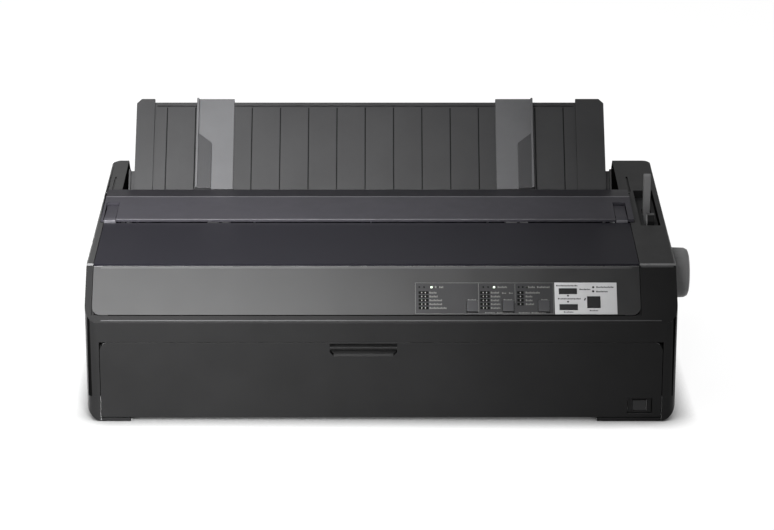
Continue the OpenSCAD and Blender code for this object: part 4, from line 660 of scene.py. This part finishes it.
dark_guide = light_guide("dark_guide", (0.020, 0.022, 0.020), 0.0)
lit_guide = light_guide("lit_guide", (0.70, 0.85, 0.70), 0.9)
lights = moulded_copy("indicator_lights", dark_guide, ease=0.0002)
paint_faces(lights, lit_guide, lambda middle, normal: min(abs(middle[0] - 36.5), abs(middle[0] - 100.0)) < 2.0)


# ---- Smoked top cover ----
# A long lid of smoked, slightly violet plastic over the print mechanism, hinged along its
# rear edge. It is made opaque, since hardly anything can be seen through it.
smoked_plastic = plastic("smoked_plastic", (0.010, 0.0095, 0.0135), 0.28, specular=0.16,
    grain=0.0004, depth=0.0, patchy=0.02, gloss=0.004)
shade_sides(moulded_copy("top_cover", smoked_plastic, ease=0.0008))


# ---- Tension unit with its lock tabs ----
# The strip behind the lid that presses the paper flat, in the same smoked plastic, with a
# steel channel and soft rollers below it. Two pressed tabs at its ends lock it down.
unit_plastic = plastic("unit_plastic", (0.026, 0.0245, 0.031), 0.44, specular=0.22, grain=0.0004, depth=0.15)
# A lighter copy of the smoked plastic for the painted highlight along the front lip.
unit_lip_highlight = plastic("unit_lip_highlight", (0.055, 0.053, 0.060), 0.40, specular=0.3, grain=0.0004, depth=0.10)
# A lighter, glossier copy of the smoked plastic for painted highlights.
ridge_and_tab_highlight = plastic("ridge_and_tab_highlight", (0.09, 0.088, 0.098), 0.34, specular=0.5, grain=0.0004, depth=0.05)
RIDGE_Y, LIP_Y = 20.6, -41.4


def long_edge_at(y, above):
    """A test for the long edges across the printer at y, above a height."""
    return lambda a, b: (max(abs(a[1] - y), abs(b[1] - y)) < 0.4
        and min(a[2], b[2]) > above and abs(a[0] - b[0]) > 300.0)


unit = moulded_copy("tension_cover", unit_plastic, ease=0.0008, rounded=[
    (long_edge_at(RIDGE_Y, 174.0), 0.0013), (long_edge_at(LIP_Y, 167.0), 0.0010)])
# The flat rear band is painted a darker copy of the smoked plastic: painted shade.
unit_rear_shade = plastic("unit_rear_shade", (0.012, 0.0113, 0.0145), 0.40, specular=0.14, grain=0.0004, depth=0.15)
paint_faces(unit, unit_rear_shade, lambda middle, normal: middle[1] > 22.5 and normal.z > 0.8)
shade_sides(unit)
# A lighter band along the ridge: a painted highlight.
paint_faces(unit, ridge_and_tab_highlight, lambda middle, normal:
    abs(middle[1] - RIDGE_Y) < 1.6 and normal.z > 0.8 and middle[2] > 174.5)
# A lighter band along the front lip: a painted highlight.
paint_faces(unit, unit_lip_highlight, lambda middle, normal:
    abs(middle[1] + 41.0) < 1.2 and 0.3 < normal.z < 0.97 and middle[2] > 166.5)
for side in ("left", "right"):
    tab = moulded_copy(f"lock_tab_{side}", unit_plastic, ease=0.0005)
    shade_sides(tab)
    # The tabs' front faces get the same lighter paint: a painted highlight.
    paint_faces(tab, ridge_and_tab_highlight, lambda middle, normal: normal.y < -0.5 and normal.z > -0.2)
finish_node("tension_frame", galvanised)
finish_node("tension_rollers", platen_rubber)


# ---- Front door ----
# The big paper door of the front, moulded with a finger pull and hinged along its foot.
shade_sides(moulded_copy("front_door", case_plastic, ease=0.0008))


# ---- Power switch ----
# A small rocker in the lower case that shows through a window of the door.
switch_plastic = plastic("switch_plastic", (0.010, 0.010, 0.0105), 0.40, specular=0.3,
    grain=0.0003, depth=0.15)
moulded_copy("power_switch", switch_plastic, ease=0.0006)


# ---- Sheet guide and its edge guides ----
# The upright grooved panel that carries paper, hooked into the rear opening, and two sliding
# edge guides in a lighter grey, each with a flap beside its fence painted darker as shade.
guide_plastic = plastic("guide_plastic", (0.034, 0.034, 0.035), 0.44, specular=0.3, grain=0.0005, depth=0.2)
edge_plastic = plastic("edge_plastic", (0.10, 0.10, 0.104), 0.42, specular=0.3, grain=0.0004, depth=0.15)
guide_shade = plastic("guide_shade", (0.007, 0.007, 0.0075), 0.6, specular=0.1, depth=0.1)
flap_shade = plastic("flap_shade", (0.040, 0.040, 0.042), 0.46, specular=0.3, grain=0.0004, depth=0.15)
GUIDE_LEAN = math.radians(50.0)
guide_front = Vector((0.0, -math.sin(GUIDE_LEAN), math.cos(GUIDE_LEAN)))
guide = moulded_copy("sheet_guide", guide_plastic, ease=0.0003)
shade_sides(guide)
# The groove bottoms are painted near-black: painted shade in the grooves.
paint_faces(guide, guide_shade, lambda middle, normal: normal.dot(guide_front) > 0.9
    and 59.2 < guide_front.dot(Vector(middle)) < 59.8)
for side in ("left", "right"):
    edge = moulded_copy(f"edge_guide_{side}", edge_plastic, ease=0.0005)
    # Each guide's flap is painted darker: painted shade.
    paint_faces(edge, flap_shade, lambda middle, normal: normal.dot(guide_front) > 0.7
        and 66.2 < guide_front.dot(Vector(middle)) < 67.0)


# ---- Levers ----
# Two levers in the slot of the right deck: a grey one behind that releases the paper, and a
# black one in front that sets the head gap.
lever_plastic = plastic("lever_plastic", (0.16, 0.16, 0.162), 0.42, specular=0.45, grain=0.0004, depth=0.15)
moulded_copy("release_lever", lever_plastic, ease=0.0009, steps=3)
moulded_copy("gap_lever", case_plastic, ease=0.0009, steps=3)
